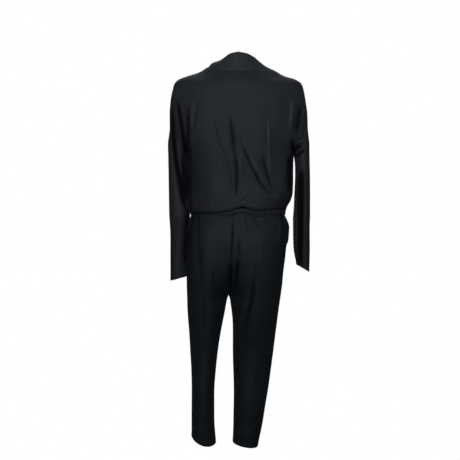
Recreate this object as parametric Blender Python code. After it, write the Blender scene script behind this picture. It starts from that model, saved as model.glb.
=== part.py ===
"""A long-sleeved jersey jumpsuit, worn: bloused crossover bodice with a standing shawl band, elastic
waist casing and tapered trousers. Lengths are in metres, +Z is up, +Y is the wearer's back and +X the
wearer's left. The origin is at the centre of the neck opening, 10 mm above the neckline seam at the
centre back."""

import math

import bmesh
import bpy
import numpy as np

WALL = 0.002          # thickness of the cloth
SEAM = 0.0003         # space between two pieces at a seam
FINE = 1              # steps for each step that COUNTS gives

# ---------------------------------------------------------------- section tables

def table(columns, rows):
    data = np.array(rows, float)
    return {name: data[:, i] for i, name in enumerate(columns.split())}


# Bodice, from the neckline down. fall: way down the centre back; level: height there; rise: how much
# higher the shoulder end lies; left, right: half widths; back, front: depths; square: corner fullness
BODICE = table("fall level rise left right back front square", [
    (0.000, -0.010, 0.028, 0.104, 0.100, 0.074, 0.070, 2.00),
    (0.012, -0.019, 0.030, 0.1185, 0.1170, 0.080, 0.077, 2.00),
    (0.026, -0.030, 0.029, 0.1390, 0.1400, 0.087, 0.083, 2.00),
    (0.040, -0.041, 0.0264, 0.1735, 0.1645, 0.092, 0.088, 2.05),
    (0.053, -0.052, 0.0228, 0.2140, 0.2070, 0.096, 0.092, 2.10),
    (0.068, -0.065, 0.0202, 0.2305, 0.2305, 0.099, 0.096, 2.15),
    (0.090, -0.085, 0.0163, 0.2375, 0.2385, 0.102, 0.101, 2.20),
    (0.120, -0.113, 0.0090, 0.2445, 0.2450, 0.105, 0.106, 2.25),
    (0.160, -0.155, 0.0000, 0.2490, 0.2530, 0.108, 0.112, 2.30),
    (0.205, -0.200, 0.0000, 0.2540, 0.2588, 0.109, 0.117, 2.35),
    (0.305, -0.300, 0.0000, 0.1860, 0.2035, 0.107, 0.113, 2.60),
    (0.345, -0.340, 0.0000, 0.1842, 0.2005, 0.106, 0.108, 2.60),
    (0.400, -0.395, 0.0000, 0.1835, 0.2003, 0.106, 0.105, 2.60),
    (0.450, -0.445, 0.0000, 0.1834, 0.1985, 0.107, 0.105, 2.60),
    (0.482, -0.477, 0.0000, 0.1818, 0.1915, 0.108, 0.106, 2.55),
    (0.505, -0.500, 0.0000, 0.1790, 0.1785, 0.108, 0.106, 2.50),
    (0.514, -0.508, 0.0000, 0.1775, 0.1755, 0.1065, 0.1045, 2.45),
    (0.520, -0.512, 0.0000, 0.1763, 0.1757, 0.1035, 0.1015, 2.40),
    (0.526, -0.508, 0.0000, 0.1755, 0.1747, 0.1002, 0.0982, 2.40),
])
# How far forward of the middle each side seam runs
SIDE = table("fall left right", [
    (0.305, 0.000, 0.000), (0.345, -0.018, 0.000), (0.400, -0.024, 0.000), (0.450, -0.022, 0.000),
    (0.482, -0.014, 0.000), (0.505, -0.004, 0.000), (0.526, 0.000, 0.000)])
# Lowest line of the blouse across the back and front
BLOUSE_BACK = table("x z", [
    (-0.190, -0.500), (-0.150, -0.4985), (-0.110, -0.5030), (-0.066, -0.5075), (-0.034, -0.5010),
    (-0.015, -0.4940), (0.005, -0.5000), (0.022, -0.5075), (0.047, -0.5120), (0.077, -0.5150),
    (0.120, -0.5155), (0.170, -0.5150)])
BLOUSE_FRONT = table("x z", [
    (-0.190, -0.505), (-0.120, -0.514), (-0.050, -0.508), (0.030, -0.516), (0.110, -0.511),
    (0.190, -0.508)])
# Middle line of the elastic casing, as it rolls round the waist
CASING_BACK = table("x z half", [
    (-0.180, -0.510, 0.0105), (-0.140, -0.5105, 0.0100), (-0.066, -0.5120, 0.0105),
    (-0.030, -0.5095, 0.0090), (-0.012, -0.5080, 0.0075), (0.006, -0.5105, 0.0085),
    (0.030, -0.5145, 0.0105), (0.060, -0.5145, 0.0105), (0.120, -0.5125, 0.0105),
    (0.180, -0.5120, 0.0105)])
CASING_FRONT = table("x z half", [
    (-0.180, -0.510, 0.0105), (0.000, -0.5130, 0.0105), (0.180, -0.512, 0.0105)])
WAIST = {"left": 0.1710, "right": 0.1700, "back": 0.0955, "front": 0.0935, "square": 2.4}
CASING_WALL = 0.003
CASING_SWELL = 0.0016

# Seam line where the shawl band meets each front: x towards the centre is positive for both
WRAP = table("fall seam", [
    (0.000, -0.0994), (0.012, -0.0990), (0.040, -0.0985), (0.068, -0.0965), (0.110, -0.0870),
    (0.160, -0.0700), (0.205, -0.0520), (0.255, -0.0300), (0.305, -0.0060), (0.355, 0.0200), (0.405, 0.0460),
    (0.455, 0.0700), (0.505, 0.0930), (0.526, 0.1010)])
# Free edge of the band, as a step from its seam edge. along: 0 centre back, 1 neck point, then
# 1 + fall down the front; inward is towards the centre, back is +Y, up is +Z, roll the fullness
COLLAR = table("along inward back up_left up_right roll_left roll_right", [
    (0.00, 0.000, -0.017, 0.0722, 0.0722, 0.002, 0.002),
    (0.25, 0.005, -0.018, 0.0660, 0.0670, 0.002, 0.002),
    (0.45, 0.013, -0.019, 0.0530, 0.0590, 0.003, 0.002),
    (0.80, 0.027, -0.020, 0.0300, 0.0360, 0.007, 0.003),
    (1.00, 0.037, -0.012, 0.0240, 0.0240, 0.009, 0.004),
    (1.012, 0.036, -0.006, 0.0260, 0.0260, 0.009, 0.006),
    (1.040, 0.040, -0.004, 0.0310, 0.0310, 0.008, 0.007),
    (1.068, 0.043, -0.004, 0.0300, 0.0300, 0.006, 0.006),
    (1.110, 0.047, -0.004, 0.0260, 0.0260, 0.005, 0.005),
    (1.300, 0.048, 0.000, 0.0250, 0.0250, 0.004, 0.004),
    (1.480, 0.040, 0.000, 0.0180, 0.0180, 0.003, 0.003),
    (1.526, 0.036, 0.000, 0.0060, 0.0060, 0.001, 0.001)])
COLLAR_ON_CHEST = (1.068, 1.130)      # from here the band follows the chest

# Sleeves from armhole to cuff. tilt: how much higher the outer side lies; mid: centre in Y
SLEEVE_LEFT = table("level tilt outer inner mid deep", [
    (-0.2500, 0.0500, 0.2540, 0.1860, 0.000, 0.057),
    (-0.2830, 0.0340, 0.2538, 0.1878, 0.010, 0.055),
    (-0.3200, 0.0180, 0.2518, 0.1842, 0.025, 0.053),
    (-0.3600, 0.0080, 0.2502, 0.1812, 0.040, 0.051),
    (-0.4100, 0.0020, 0.2485, 0.1785, 0.051, 0.049),
    (-0.4600, 0.0000, 0.2472, 0.1775, 0.056, 0.048),
    (-0.5100, 0.0000, 0.2460, 0.1732, 0.060, 0.047),
    (-0.5400, 0.0000, 0.2452, 0.1752, 0.061, 0.047),
    (-0.5700, 0.0000, 0.2445, 0.1800, 0.058, 0.046),
    (-0.6300, 0.0000, 0.2431, 0.1850, 0.053, 0.045),
    (-0.6950, -0.0030, 0.2418, 0.1860, 0.050, 0.043),
    (-0.7500, -0.0075, 0.2412, 0.1885, 0.050, 0.041)])
SLEEVE_RIGHT = table("level tilt outer inner mid deep", [
    (-0.2500, 0.0500, 0.2588, 0.2035, 0.000, 0.057),
    (-0.2830, 0.0340, 0.2592, 0.2055, 0.003, 0.055),
    (-0.3200, 0.0180, 0.2598, 0.2068, 0.007, 0.052),
    (-0.3600, 0.0080, 0.2601, 0.2070, 0.011, 0.050),
    (-0.4100, 0.0020, 0.2602, 0.2058, 0.015, 0.048),
    (-0.4600, 0.0000, 0.2602, 0.2035, 0.019, 0.047),
    (-0.5100, 0.0000, 0.2600, 0.2000, 0.022, 0.046),
    (-0.5600, 0.0000, 0.2600, 0.1950, 0.024, 0.045),
    (-0.6000, 0.0000, 0.2598, 0.1962, 0.024, 0.043),
    (-0.6500, -0.0030, 0.2590, 0.2015, 0.022, 0.041),
    (-0.6900, -0.0080, 0.2580, 0.2090, 0.021, 0.040),
    (-0.7150, -0.0130, 0.2570, 0.2125, 0.020, 0.039)])

# Trouser legs. outer, inner: signed x of the side seam and the inside of the leg; crest: x where the
# leg is deepest; mid: y of the side seam
LEG_LEFT = table("level outer inner crest back front mid", [
    (-0.5200, 0.1710, 0.0150, 0.090, 0.0955, 0.0935, 0.000),
    (-0.5400, 0.1790, 0.0185, 0.090, 0.1060, 0.0985, 0.001),
    (-0.5800, 0.1830, 0.0200, 0.090, 0.1140, 0.1000, 0.002),
    (-0.6300, 0.1855, 0.0230, 0.091, 0.1190, 0.0990, 0.002),
    (-0.6800, 0.1862, 0.0262, 0.093, 0.1195, 0.0970, 0.002),
    (-0.7300, 0.1862, 0.0290, 0.096, 0.1160, 0.0945, 0.002),
    (-0.7700, 0.1860, 0.0320, 0.100, 0.1115, 0.0930, 0.001),
    (-0.8000, 0.1852, 0.0340, 0.104, 0.1080, 0.0920, 0.000),
    (-0.8140, 0.1848, 0.0347, 0.106, 0.1065, 0.0915, 0.000),
    (-0.8250, 0.1843, 0.0387, 0.108, 0.1050, 0.0910, 0.000),
    (-0.8470, 0.1837, 0.0436, 0.110, 0.1030, 0.0900, -0.001),
    (-0.8690, 0.1829, 0.0478, 0.112, 0.1000, 0.0885, -0.002),
    (-0.9125, 0.1803, 0.0566, 0.116, 0.0940, 0.0850, -0.004),
    (-0.9560, 0.1774, 0.0646, 0.119, 0.0870, 0.0810, -0.006),
    (-1.0000, 0.1745, 0.0719, 0.122, 0.0800, 0.0760, -0.008),
    (-1.0880, 0.1700, 0.0819, 0.125, 0.0710, 0.0660, -0.005),
    (-1.1750, 0.1682, 0.0870, 0.127, 0.0660, 0.0590, 0.004),
    (-1.2630, 0.1679, 0.0867, 0.127, 0.0590, 0.0545, 0.011),
    (-1.3510, 0.1678, 0.0815, 0.125, 0.0525, 0.0520, 0.014)])
LEG_RIGHT = table("level outer inner crest back front mid", [
    (-0.5200, -0.1700, 0.0150, -0.060, 0.0955, 0.0935, 0.000),
    (-0.5400, -0.1858, 0.0185, -0.060, 0.1060, 0.0985, 0.001),
    (-0.5800, -0.1822, 0.0200, -0.060, 0.1140, 0.1000, 0.002),
    (-0.6100, -0.1800, 0.0220, -0.060, 0.1180, 0.0995, 0.002),
    (-0.6400, -0.1740, 0.0238, -0.061, 0.1192, 0.0985, 0.002),
    (-0.6800, -0.1700, 0.0262, -0.060, 0.1195, 0.0970, 0.002),
    (-0.7300, -0.1640, 0.0290, -0.058, 0.1160, 0.0945, 0.002),
    (-0.7700, -0.1600, 0.0320, -0.056, 0.1115, 0.0930, 0.001),
    (-0.8000, -0.1560, 0.0340, -0.055, 0.1080, 0.0920, 0.000),
    (-0.8140, -0.1542, 0.0347, -0.054, 0.1065, 0.0915, 0.000),
    (-0.8250, -0.1528, 0.0307, -0.055, 0.1050, 0.0910, 0.000),
    (-0.8470, -0.1500, 0.0268, -0.056, 0.1030, 0.0900, -0.001),
    (-0.8690, -0.1471, 0.0234, -0.057, 0.1000, 0.0885, -0.002),
    (-0.9125, -0.1416, 0.0190, -0.058, 0.0940, 0.0850, -0.004),
    (-0.9560, -0.1358, 0.0182, -0.056, 0.0870, 0.0810, -0.006),
    (-1.0000, -0.1303, 0.0179, -0.054, 0.0800, 0.0760, -0.008),
    (-1.0880, -0.1175, 0.0162, -0.049, 0.0700, 0.0650, -0.003),
    (-1.1750, -0.1050, 0.0150, -0.044, 0.0640, 0.0570, 0.004),
    (-1.2630, -0.0893, 0.0152, -0.037, 0.0560, 0.0515, 0.009),
    (-1.3510, -0.0705, 0.0188, -0.028, 0.0490, 0.0480, 0.012)])
# Centre seams above the crotch: x and y of the back seam and of the front seam
RISE = table("level back_x back front_x front", [
    (-0.5200, 0.0170, 0.0950, 0.0120, -0.0930),
    (-0.5400, 0.0182, 0.1050, 0.0130, -0.0975),
    (-0.5800, 0.0200, 0.1120, 0.0150, -0.0985),
    (-0.6300, 0.0240, 0.1155, 0.0190, -0.0965),
    (-0.6800, 0.0268, 0.1120, 0.0230, -0.0905),
    (-0.7300, 0.0295, 0.0970, 0.0275, -0.0780),
    (-0.7700, 0.0320, 0.0720, 0.0315, -0.0570),
    (-0.8000, 0.0340, 0.0350, 0.0340, -0.0250),
    (-0.8140, 0.0347, 0.0040, 0.0347, 0.0040)])
LEG_TOP, CROTCH = -0.5235, -0.814
# How far the hem rises at the outer side, at both sides alike, at the front and all round
HEM_LEFT = {"tilt": 0.0122, "bow": 0.0091, "front": 0.0060, "lift": 0.0088}
HEM_RIGHT = {"tilt": -0.0075, "bow": 0.0000, "front": 0.0040, "lift": 0.0000}
POCKET = {"top": LEG_TOP, "bottom": -0.634, "stand": 0.0045, "past": 0.011}
POCKET_SIDE = {1: 0.75, -1: 1.0}      # how far each mouth gapes

# ---------------------------------------------------------------- fold tables
# Each row is one fold: from x0, z0 past xm, zm to x1, z1; height is negative in a trough; wide is its
# half width; sharp above 1 pinches its crest
FOLD_COLUMNS = "x0 z0 xm zm x1 z1 height wide sharp"
FOLDS_UPPER_BACK = table(FOLD_COLUMNS, [
    (0.029, -0.165, 0.017, -0.285, 0.002, -0.452, -0.0075, 0.0090, 1.3),
    (-0.004, -0.180, -0.002, -0.300, -0.012, -0.430, 0.0055, 0.0100, 1.0),
    (0.030, -0.400, 0.026, -0.430, 0.019, -0.466, -0.0050, 0.0065, 1.2),
    (0.044, -0.230, 0.038, -0.330, 0.032, -0.440, 0.0040, 0.0130, 1.0),
    (-0.012, -0.290, -0.048, -0.385, -0.135, -0.462, -0.0080, 0.0100, 1.3),
    (-0.020, -0.225, -0.062, -0.330, -0.130, -0.425, 0.0070, 0.0130, 1.0),
    (-0.079, -0.290, -0.088, -0.365, -0.130, -0.430, -0.0070, 0.0095, 1.2),
    (-0.104, -0.165, -0.106, -0.285, -0.124, -0.405, 0.0060, 0.0095, 1.2),
    (-0.150, -0.290, -0.155, -0.370, -0.158, -0.450, 0.0050, 0.0180, 1.0),
    (-0.128, -0.452, -0.142, -0.470, -0.152, -0.500, 0.0060, 0.0090, 1.0),
    (-0.162, -0.440, -0.166, -0.468, -0.160, -0.498, -0.0060, 0.0080, 1.2),
    (0.096, -0.190, 0.075, -0.275, 0.036, -0.415, -0.0030, 0.0090, 1.0),
    (0.120, -0.380, 0.090, -0.430, 0.060, -0.470, 0.0040, 0.0240, 1.0),
    (0.166, -0.495, 0.140, -0.473, 0.100, -0.455, -0.0050, 0.0080, 1.2),
    (0.014, -0.500, -0.004, -0.485, -0.030, -0.452, -0.0065, 0.0065, 1.2),
    (0.004, -0.490, -0.012, -0.470, -0.034, -0.440, 0.0055, 0.0070, 1.0),
    (0.146, -0.105, 0.158, -0.160, 0.166, -0.230, -0.0050, 0.0075, 1.2),
    (0.160, -0.100, 0.166, -0.165, 0.172, -0.240, 0.0055, 0.0090, 1.0),
    (0.176, -0.098, 0.176, -0.170, 0.177, -0.262, -0.0055, 0.0085, 1.0),
    (0.206, -0.100, 0.190, -0.215, 0.182, -0.372, -0.0085, 0.0085, 1.3),
    (0.203, -0.200, 0.205, -0.290, 0.198, -0.400, 0.0060, 0.0100, 1.0),
    (0.229, -0.180, 0.219, -0.330, 0.184, -0.500, -0.0080, 0.0080, 1.2),
    (0.236, -0.300, 0.228, -0.420, 0.214, -0.560, 0.0050, 0.0110, 1.0),
    (0.205, -0.420, 0.198, -0.480, 0.194, -0.570, 0.0040, 0.0090, 1.0),
    (-0.196, -0.100, -0.194, -0.180, -0.188, -0.262, 0.0065, 0.0085, 1.1),
    (-0.222, -0.110, -0.214, -0.180, -0.200, -0.262, -0.0080, 0.0130, 1.0),
    (-0.196, -0.255, -0.199, -0.280, -0.198, -0.306, -0.0080, 0.0080, 1.2),
    (-0.236, -0.262, -0.218, -0.286, -0.202, -0.300, -0.0075, 0.0075, 1.2),
    (-0.232, -0.240, -0.216, -0.258, -0.204, -0.270, 0.0050, 0.0080, 1.0),
    (-0.246, -0.290, -0.240, -0.400, -0.226, -0.520, 0.0050, 0.0110, 1.0),
    (-0.226, -0.300, -0.220, -0.420, -0.210, -0.530, -0.0050, 0.0090, 1.0),
    (-0.238, -0.480, -0.238, -0.560, -0.240, -0.660, -0.0045, 0.0100, 1.0),
    (-0.222, -0.500, -0.224, -0.600, -0.232, -0.690, 0.0040, 0.0090, 1.0),
    (0.222, -0.520, 0.226, -0.600, 0.222, -0.700, -0.0040, 0.0100, 1.0),
    (-0.102, 0.030, -0.102, 0.012, -0.104, -0.030, 0.0045, 0.0060, 1.0),
    (-0.132, 0.016, -0.132, 0.000, -0.130, -0.030, 0.0040, 0.0080, 1.0),
    (0.104, 0.040, 0.106, 0.015, 0.110, -0.025, 0.0035, 0.0070, 1.0),
])
FOLDS_UPPER_FRONT = table(FOLD_COLUMNS, [
    (-0.160, -0.110, -0.125, -0.230, -0.060, -0.370, -0.0065, 0.0110, 1.2),
    (-0.140, -0.120, -0.095, -0.230, -0.020, -0.380, 0.0060, 0.0130, 1.0),
    (-0.175, -0.230, -0.120, -0.330, -0.010, -0.455, -0.0070, 0.0110, 1.2),
    (-0.180, -0.290, -0.120, -0.385, 0.010, -0.480, 0.0060, 0.0120, 1.0),
    (-0.170, -0.370, -0.110, -0.435, 0.000, -0.495, -0.0060, 0.0090, 1.2),
    (-0.120, -0.430, -0.070, -0.470, 0.020, -0.500, 0.0050, 0.0090, 1.0),
    (0.165, -0.110, 0.140, -0.210, 0.120, -0.330, -0.0060, 0.0110, 1.1),
    (0.140, -0.120, 0.120, -0.230, 0.110, -0.340, 0.0050, 0.0130, 1.0),
    (0.160, -0.280, 0.150, -0.370, 0.135, -0.460, -0.0060, 0.0110, 1.2),
    (0.140, -0.330, 0.128, -0.400, 0.112, -0.480, 0.0050, 0.0110, 1.0),
    (-0.100, -0.470, -0.105, -0.485, -0.108, -0.505, -0.0040, 0.0070, 1.0),
    (-0.060, -0.475, -0.062, -0.490, -0.060, -0.505, 0.0040, 0.0070, 1.0),
    (0.150, -0.465, 0.152, -0.480, 0.150, -0.500, 0.0040, 0.0070, 1.0),
    (0.205, -0.110, 0.192, -0.200, 0.186, -0.290, -0.0080, 0.0100, 1.2),
    (0.228, -0.180, 0.222, -0.300, 0.204, -0.440, -0.0065, 0.0090, 1.2),
    (0.236, -0.280, 0.228, -0.400, 0.214, -0.540, 0.0050, 0.0110, 1.0),
    (0.206, -0.430, 0.214, -0.500, 0.222, -0.560, -0.0045, 0.0080, 1.1),
    (0.200, -0.560, 0.212, -0.620, 0.226, -0.680, 0.0040, 0.0090, 1.0),
    (-0.210, -0.110, -0.202, -0.190, -0.199, -0.275, -0.0080, 0.0110, 1.2),
    (-0.234, -0.200, -0.226, -0.320, -0.214, -0.450, -0.0060, 0.0090, 1.2),
    (-0.246, -0.300, -0.240, -0.410, -0.226, -0.540, 0.0050, 0.0110, 1.0),
    (-0.214, -0.440, -0.228, -0.500, -0.240, -0.550, -0.0045, 0.0080, 1.1),
    (-0.216, -0.560, -0.230, -0.620, -0.240, -0.660, 0.0040, 0.0090, 1.0),
])
FOLDS_LOWER_BACK = table(FOLD_COLUMNS, [
    (0.144, -0.535, 0.146, -0.660, 0.140, -0.780, -0.0070, 0.0130, 1.0),
    (0.140, -0.770, 0.128, -0.860, 0.124, -0.960, -0.0055, 0.0110, 1.0),
    (0.170, -0.525, 0.173, -0.620, 0.172, -0.720, 0.0045, 0.0070, 1.1),
    (0.158, -0.522, 0.158, -0.540, 0.159, -0.570, -0.0045, 0.0055, 1.2),
    (0.096, -0.540, 0.104, -0.700, 0.102, -0.860, 0.0050, 0.0170, 1.0),
    (0.088, -0.700, 0.081, -0.760, 0.078, -0.825, -0.0040, 0.0080, 1.0),
    (0.040, -0.650, 0.046, -0.740, 0.060, -0.830, 0.0040, 0.0110, 1.0),
    (-0.003, -0.610, 0.002, -0.700, 0.016, -0.775, -0.0070, 0.0080, 1.2),
    (-0.024, -0.600, -0.016, -0.700, 0.002, -0.800, 0.0050, 0.0110, 1.0),
    (-0.029, -0.524, -0.033, -0.550, -0.040, -0.590, -0.0050, 0.0055, 1.2),
    (-0.010, -0.524, -0.012, -0.545, -0.016, -0.575, 0.0035, 0.0055, 1.0),
    (-0.046, -0.524, -0.052, -0.548, -0.060, -0.590, 0.0040, 0.0060, 1.0),
    (-0.060, -0.524, -0.076, -0.555, -0.082, -0.610, -0.0055, 0.0060, 1.3),
    (-0.080, -0.530, -0.090, -0.590, -0.090, -0.680, 0.0045, 0.0090, 1.1),
    (-0.104, -0.526, -0.110, -0.550, -0.112, -0.590, -0.0035, 0.0060, 1.0),
    (-0.126, -0.524, -0.136, -0.545, -0.142, -0.575, -0.0045, 0.0060, 1.1),
    (-0.074, -0.690, -0.056, -0.780, -0.046, -0.880, -0.0075, 0.0120, 1.1),
    (-0.044, -0.850, -0.028, -0.940, 0.000, -1.025, -0.0065, 0.0105, 1.1),
    (-0.072, -0.840, -0.060, -0.930, -0.040, -1.010, 0.0050, 0.0140, 1.0),
    (-0.120, -0.720, -0.112, -0.830, -0.100, -0.950, 0.0050, 0.0180, 1.0),
    (0.150, -0.980, 0.140, -1.090, 0.140, -1.210, -0.0035, 0.0110, 1.0),
    (0.108, -0.960, 0.106, -1.080, 0.110, -1.200, 0.0035, 0.0110, 1.0),
    (-0.090, -1.020, -0.070, -1.130, -0.055, -1.240, -0.0035, 0.0110, 1.0),
    (-0.030, -1.060, -0.026, -1.160, -0.024, -1.260, 0.0035, 0.0110, 1.0),
    (0.150, -1.230, 0.130, -1.262, 0.104, -1.285, -0.0040, 0.0090, 1.0),
    (0.158, -1.275, 0.140, -1.300, 0.110, -1.318, 0.0035, 0.0080, 1.0),
    (-0.076, -1.240, -0.050, -1.272, -0.014, -1.290, -0.0040, 0.0090, 1.0),
    (-0.068, -1.285, -0.044, -1.308, -0.010, -1.322, 0.0035, 0.0080, 1.0),
])
FOLDS_LOWER_FRONT = table(FOLD_COLUMNS, [
    (0.150, -0.530, 0.146, -0.640, 0.136, -0.760, -0.0055, 0.0110, 1.0),
    (0.112, -0.524, 0.110, -0.560, 0.104, -0.620, -0.0050, 0.0070, 1.2),
    (0.086, -0.524, 0.082, -0.560, 0.076, -0.640, 0.0045, 0.0080, 1.0),
    (0.056, -0.524, 0.050, -0.550, 0.046, -0.600, -0.0045, 0.0065, 1.2),
    (0.030, -0.524, 0.028, -0.545, 0.026, -0.580, 0.0035, 0.0060, 1.0),
    (-0.012, -0.524, -0.016, -0.550, -0.022, -0.600, -0.0045, 0.0065, 1.2),
    (-0.040, -0.524, -0.044, -0.560, -0.052, -0.640, 0.0045, 0.0080, 1.0),
    (-0.074, -0.524, -0.080, -0.560, -0.088, -0.620, -0.0050, 0.0070, 1.2),
    (-0.120, -0.530, -0.122, -0.640, -0.116, -0.760, -0.0050, 0.0110, 1.0),
    (0.046, -0.790, 0.078, -0.770, 0.120, -0.735, -0.0060, 0.0090, 1.2),
    (0.048, -0.830, 0.082, -0.815, 0.130, -0.785, 0.0050, 0.0110, 1.0),
    (0.020, -0.790, -0.010, -0.768, -0.056, -0.730, -0.0060, 0.0090, 1.2),
    (0.014, -0.828, -0.020, -0.812, -0.070, -0.780, 0.0050, 0.0110, 1.0),
    (0.128, -0.830, 0.126, -0.930, 0.122, -1.030, -0.0045, 0.0120, 1.0),
    (-0.070, -0.830, -0.064, -0.930, -0.056, -1.030, -0.0045, 0.0120, 1.0),
    (0.100, -0.900, 0.104, -1.000, 0.108, -1.100, 0.0040, 0.0120, 1.0),
    (-0.036, -0.900, -0.034, -1.000, -0.032, -1.100, 0.0040, 0.0120, 1.0),
    (0.150, -1.225, 0.130, -1.255, 0.104, -1.275, -0.0040, 0.0090, 1.0),
    (0.156, -1.270, 0.140, -1.296, 0.110, -1.312, 0.0035, 0.0080, 1.0),
    (-0.076, -1.235, -0.050, -1.265, -0.014, -1.282, -0.0040, 0.0090, 1.0),
    (-0.068, -1.280, -0.044, -1.302, -0.010, -1.316, 0.0035, 0.0080, 1.0),
])


FOLDS = {"upper": (FOLDS_UPPER_BACK, FOLDS_UPPER_FRONT), "lower": (FOLDS_LOWER_BACK, FOLDS_LOWER_FRONT)}


# ---------------------------------------------------------------- curves

def ease(t):
    t = np.clip(t, 0.0, 1.0)
    return t * t * (3.0 - 2.0 * t)


def through(xs, ys, t):
    """Smooth curve through table points that never overshoots them."""
    t = np.asarray(t, float)
    step = np.diff(xs)
    slope = np.diff(ys) / step
    same = slope[:-1] * slope[1:] > 0
    total = np.where(same, slope[:-1] + slope[1:], 1.0)
    tangent = np.concatenate([slope[:1], np.where(same, 2 * slope[:-1] * slope[1:] / total, 0.0), slope[-1:]])
    i = np.clip(np.searchsorted(xs, t, side="right") - 1, 0, len(xs) - 2)
    s = np.clip((t - xs[i]) / step[i], 0.0, 1.0)
    s2, s3 = s * s, s * s * s
    return ((2 * s3 - 3 * s2 + 1) * ys[i] + (s3 - 2 * s2 + s) * step[i] * tangent[i]
            + (3 * s2 - 2 * s3) * ys[i + 1] + (s3 - s2) * step[i] * tangent[i + 1])


def at(tab, column, t):
    key = next(iter(tab))
    xs, ys = tab[key], tab[column]
    if xs[0] > xs[-1]:
        xs, ys = xs[::-1], ys[::-1]
    return through(xs, ys, t)


def length(points):
    return float(np.linalg.norm(np.diff(points, axis=0), axis=1).sum())


def even(points, count, usual=None):
    """Points spaced evenly along a dense line, its ends kept. Where the line is longer or shorter
    than usual, only the points near its far end take up the difference."""
    step = np.linalg.norm(np.diff(points, axis=0), axis=1)
    along = np.concatenate([[0.0], np.cumsum(step)])
    u = np.linspace(0.0, 1.0, count)
    usual = along[-1] if usual is None else usual
    want = u * usual + (along[-1] - usual) * u ** 4
    out = np.stack([np.interp(want, along, points[:, k]) for k in range(3)], axis=1)
    out[0], out[-1] = points[0], points[-1]
    return out


# ---------------------------------------------------------------- bodice

DENSE = 241
ARM_TOP, ARM_BASE = 0.205, 0.305          # fall of the armhole's top and of the underarm
ARM_DEEP = 0.057
ARM_DENSE = 96
FALLS_ABOVE = [0.000, 0.012, 0.026, 0.045, 0.066, 0.100, 0.140, 0.180, ARM_TOP]
FALLS_BELOW = [ARM_BASE, 0.320, 0.350, 0.400, 0.450, 0.482, 0.503, 0.514, 0.520, 0.526]


def half_slice(fall, side, face):
    """One half of a level of the bodice: from the centre to the side seam, armhole or shoulder."""
    width = at(BODICE, "left" if side > 0 else "right", fall)
    square = at(BODICE, "square", fall)
    deep = at(BODICE, "back" if face > 0 else "front", fall)
    level, rise = at(BODICE, "level", fall), at(BODICE, "rise", fall)
    t = np.linspace(0.0, math.pi / 2, DENSE)
    x = width * np.sin(t) ** (2.0 / square)
    y = deep * np.maximum(np.cos(t), 0.0) ** (2.0 / square)
    y[-1] = 0.0
    aside = float(at(SIDE, "left" if side > 0 else "right", fall)) * np.sin(t) ** 3
    inside = ARM_TOP < fall < ARM_BASE
    if inside:
        top = at(BODICE, "left" if side > 0 else "right", ARM_TOP)
        base = at(BODICE, "left" if side > 0 else "right", ARM_BASE)
        s = (ARM_BASE - fall) / (ARM_BASE - ARM_TOP)
        edge_x = base + (top - base) * s
        edge_y = ARM_DEEP * 2.0 * math.sqrt(s * (1.0 - s))
        keep = y > edge_y
        cut_x = np.interp(edge_y, y[::-1], x[::-1])
        x, y = np.append(x[keep], cut_x), np.append(y[keep], edge_y)
        step = np.hypot(np.diff(x), np.diff(y))
        left_over = np.concatenate([np.cumsum(step[::-1])[::-1], [0.0]])
        x = x + (edge_x - cut_x) * ease(1.0 - left_over / (0.020 + 0.240 * s * (1.0 - s)))
    z = level + rise * (x / width) ** 5
    own = at(BLOUSE_BACK if face > 0 else BLOUSE_FRONT, "z", side * x)
    both = (at(BLOUSE_BACK, "z", side * x) + at(BLOUSE_FRONT, "z", side * x)) / 2
    low = both + (own - both) * ease(y / 0.04) + 0.512
    z = z + low * ease((fall - 0.430) / 0.070)
    return np.stack([side * x, face * y + (0.0 if inside else aside), z], axis=1)


def layer(points, fall, side):
    """How far a front stands in or out where the other front crosses it."""
    x = points[..., 0]
    low = ease((fall - 0.440) / 0.050)
    if side > 0:
        seam = at(WRAP, "seam", fall)
        cover = ease((seam + 0.090 - x) / 0.030) * ease((fall - 0.060) / 0.080)
        return -0.0078 * cover * (1.0 - low)
    cover = ease((x + at(WRAP, "seam", fall) + 0.072) / 0.030)
    return 0.0098 * cover * low


def push(points, amount):
    """Move points of a level out from the body by amount."""
    flat = points[..., :2].copy()
    flat[..., 0] *= 0.35
    size = np.linalg.norm(flat, axis=-1, keepdims=True)
    out = points.copy()
    out[..., :2] += flat / np.maximum(size, 1e-6) * np.asarray(amount)[..., None]
    return out


def usual_half(fall, side, face):
    """Length of half a level as it would be without the armhole."""
    if not ARM_TOP < fall < ARM_BASE:
        return length(half_slice(fall, side, face))
    s = float((ARM_BASE - fall) / (ARM_BASE - ARM_TOP))
    top, base = (length(half_slice(f, side, face)) for f in (ARM_TOP, ARM_BASE))
    return base + (top - base) * s - 0.020 * math.sin(math.pi * s)


def back_row(fall, half):
    left = even(half_slice(fall, 1, 1), half + 1, usual_half(fall, 1, 1))
    right = even(half_slice(fall, -1, 1), half + 1, usual_half(fall, -1, 1))
    left[0] = right[0] = (left[0] + right[0]) / 2
    return np.concatenate([left[::-1], right[1:]])


def front_line(fall, side):
    """Whole front level from this side's edge across to the other side."""
    own = half_slice(fall, side, -1)[::-1]
    other = half_slice(fall, -side, -1)
    own[-1] = (own[-1] + other[0]) / 2
    return np.concatenate([own, other[1:]])


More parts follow.
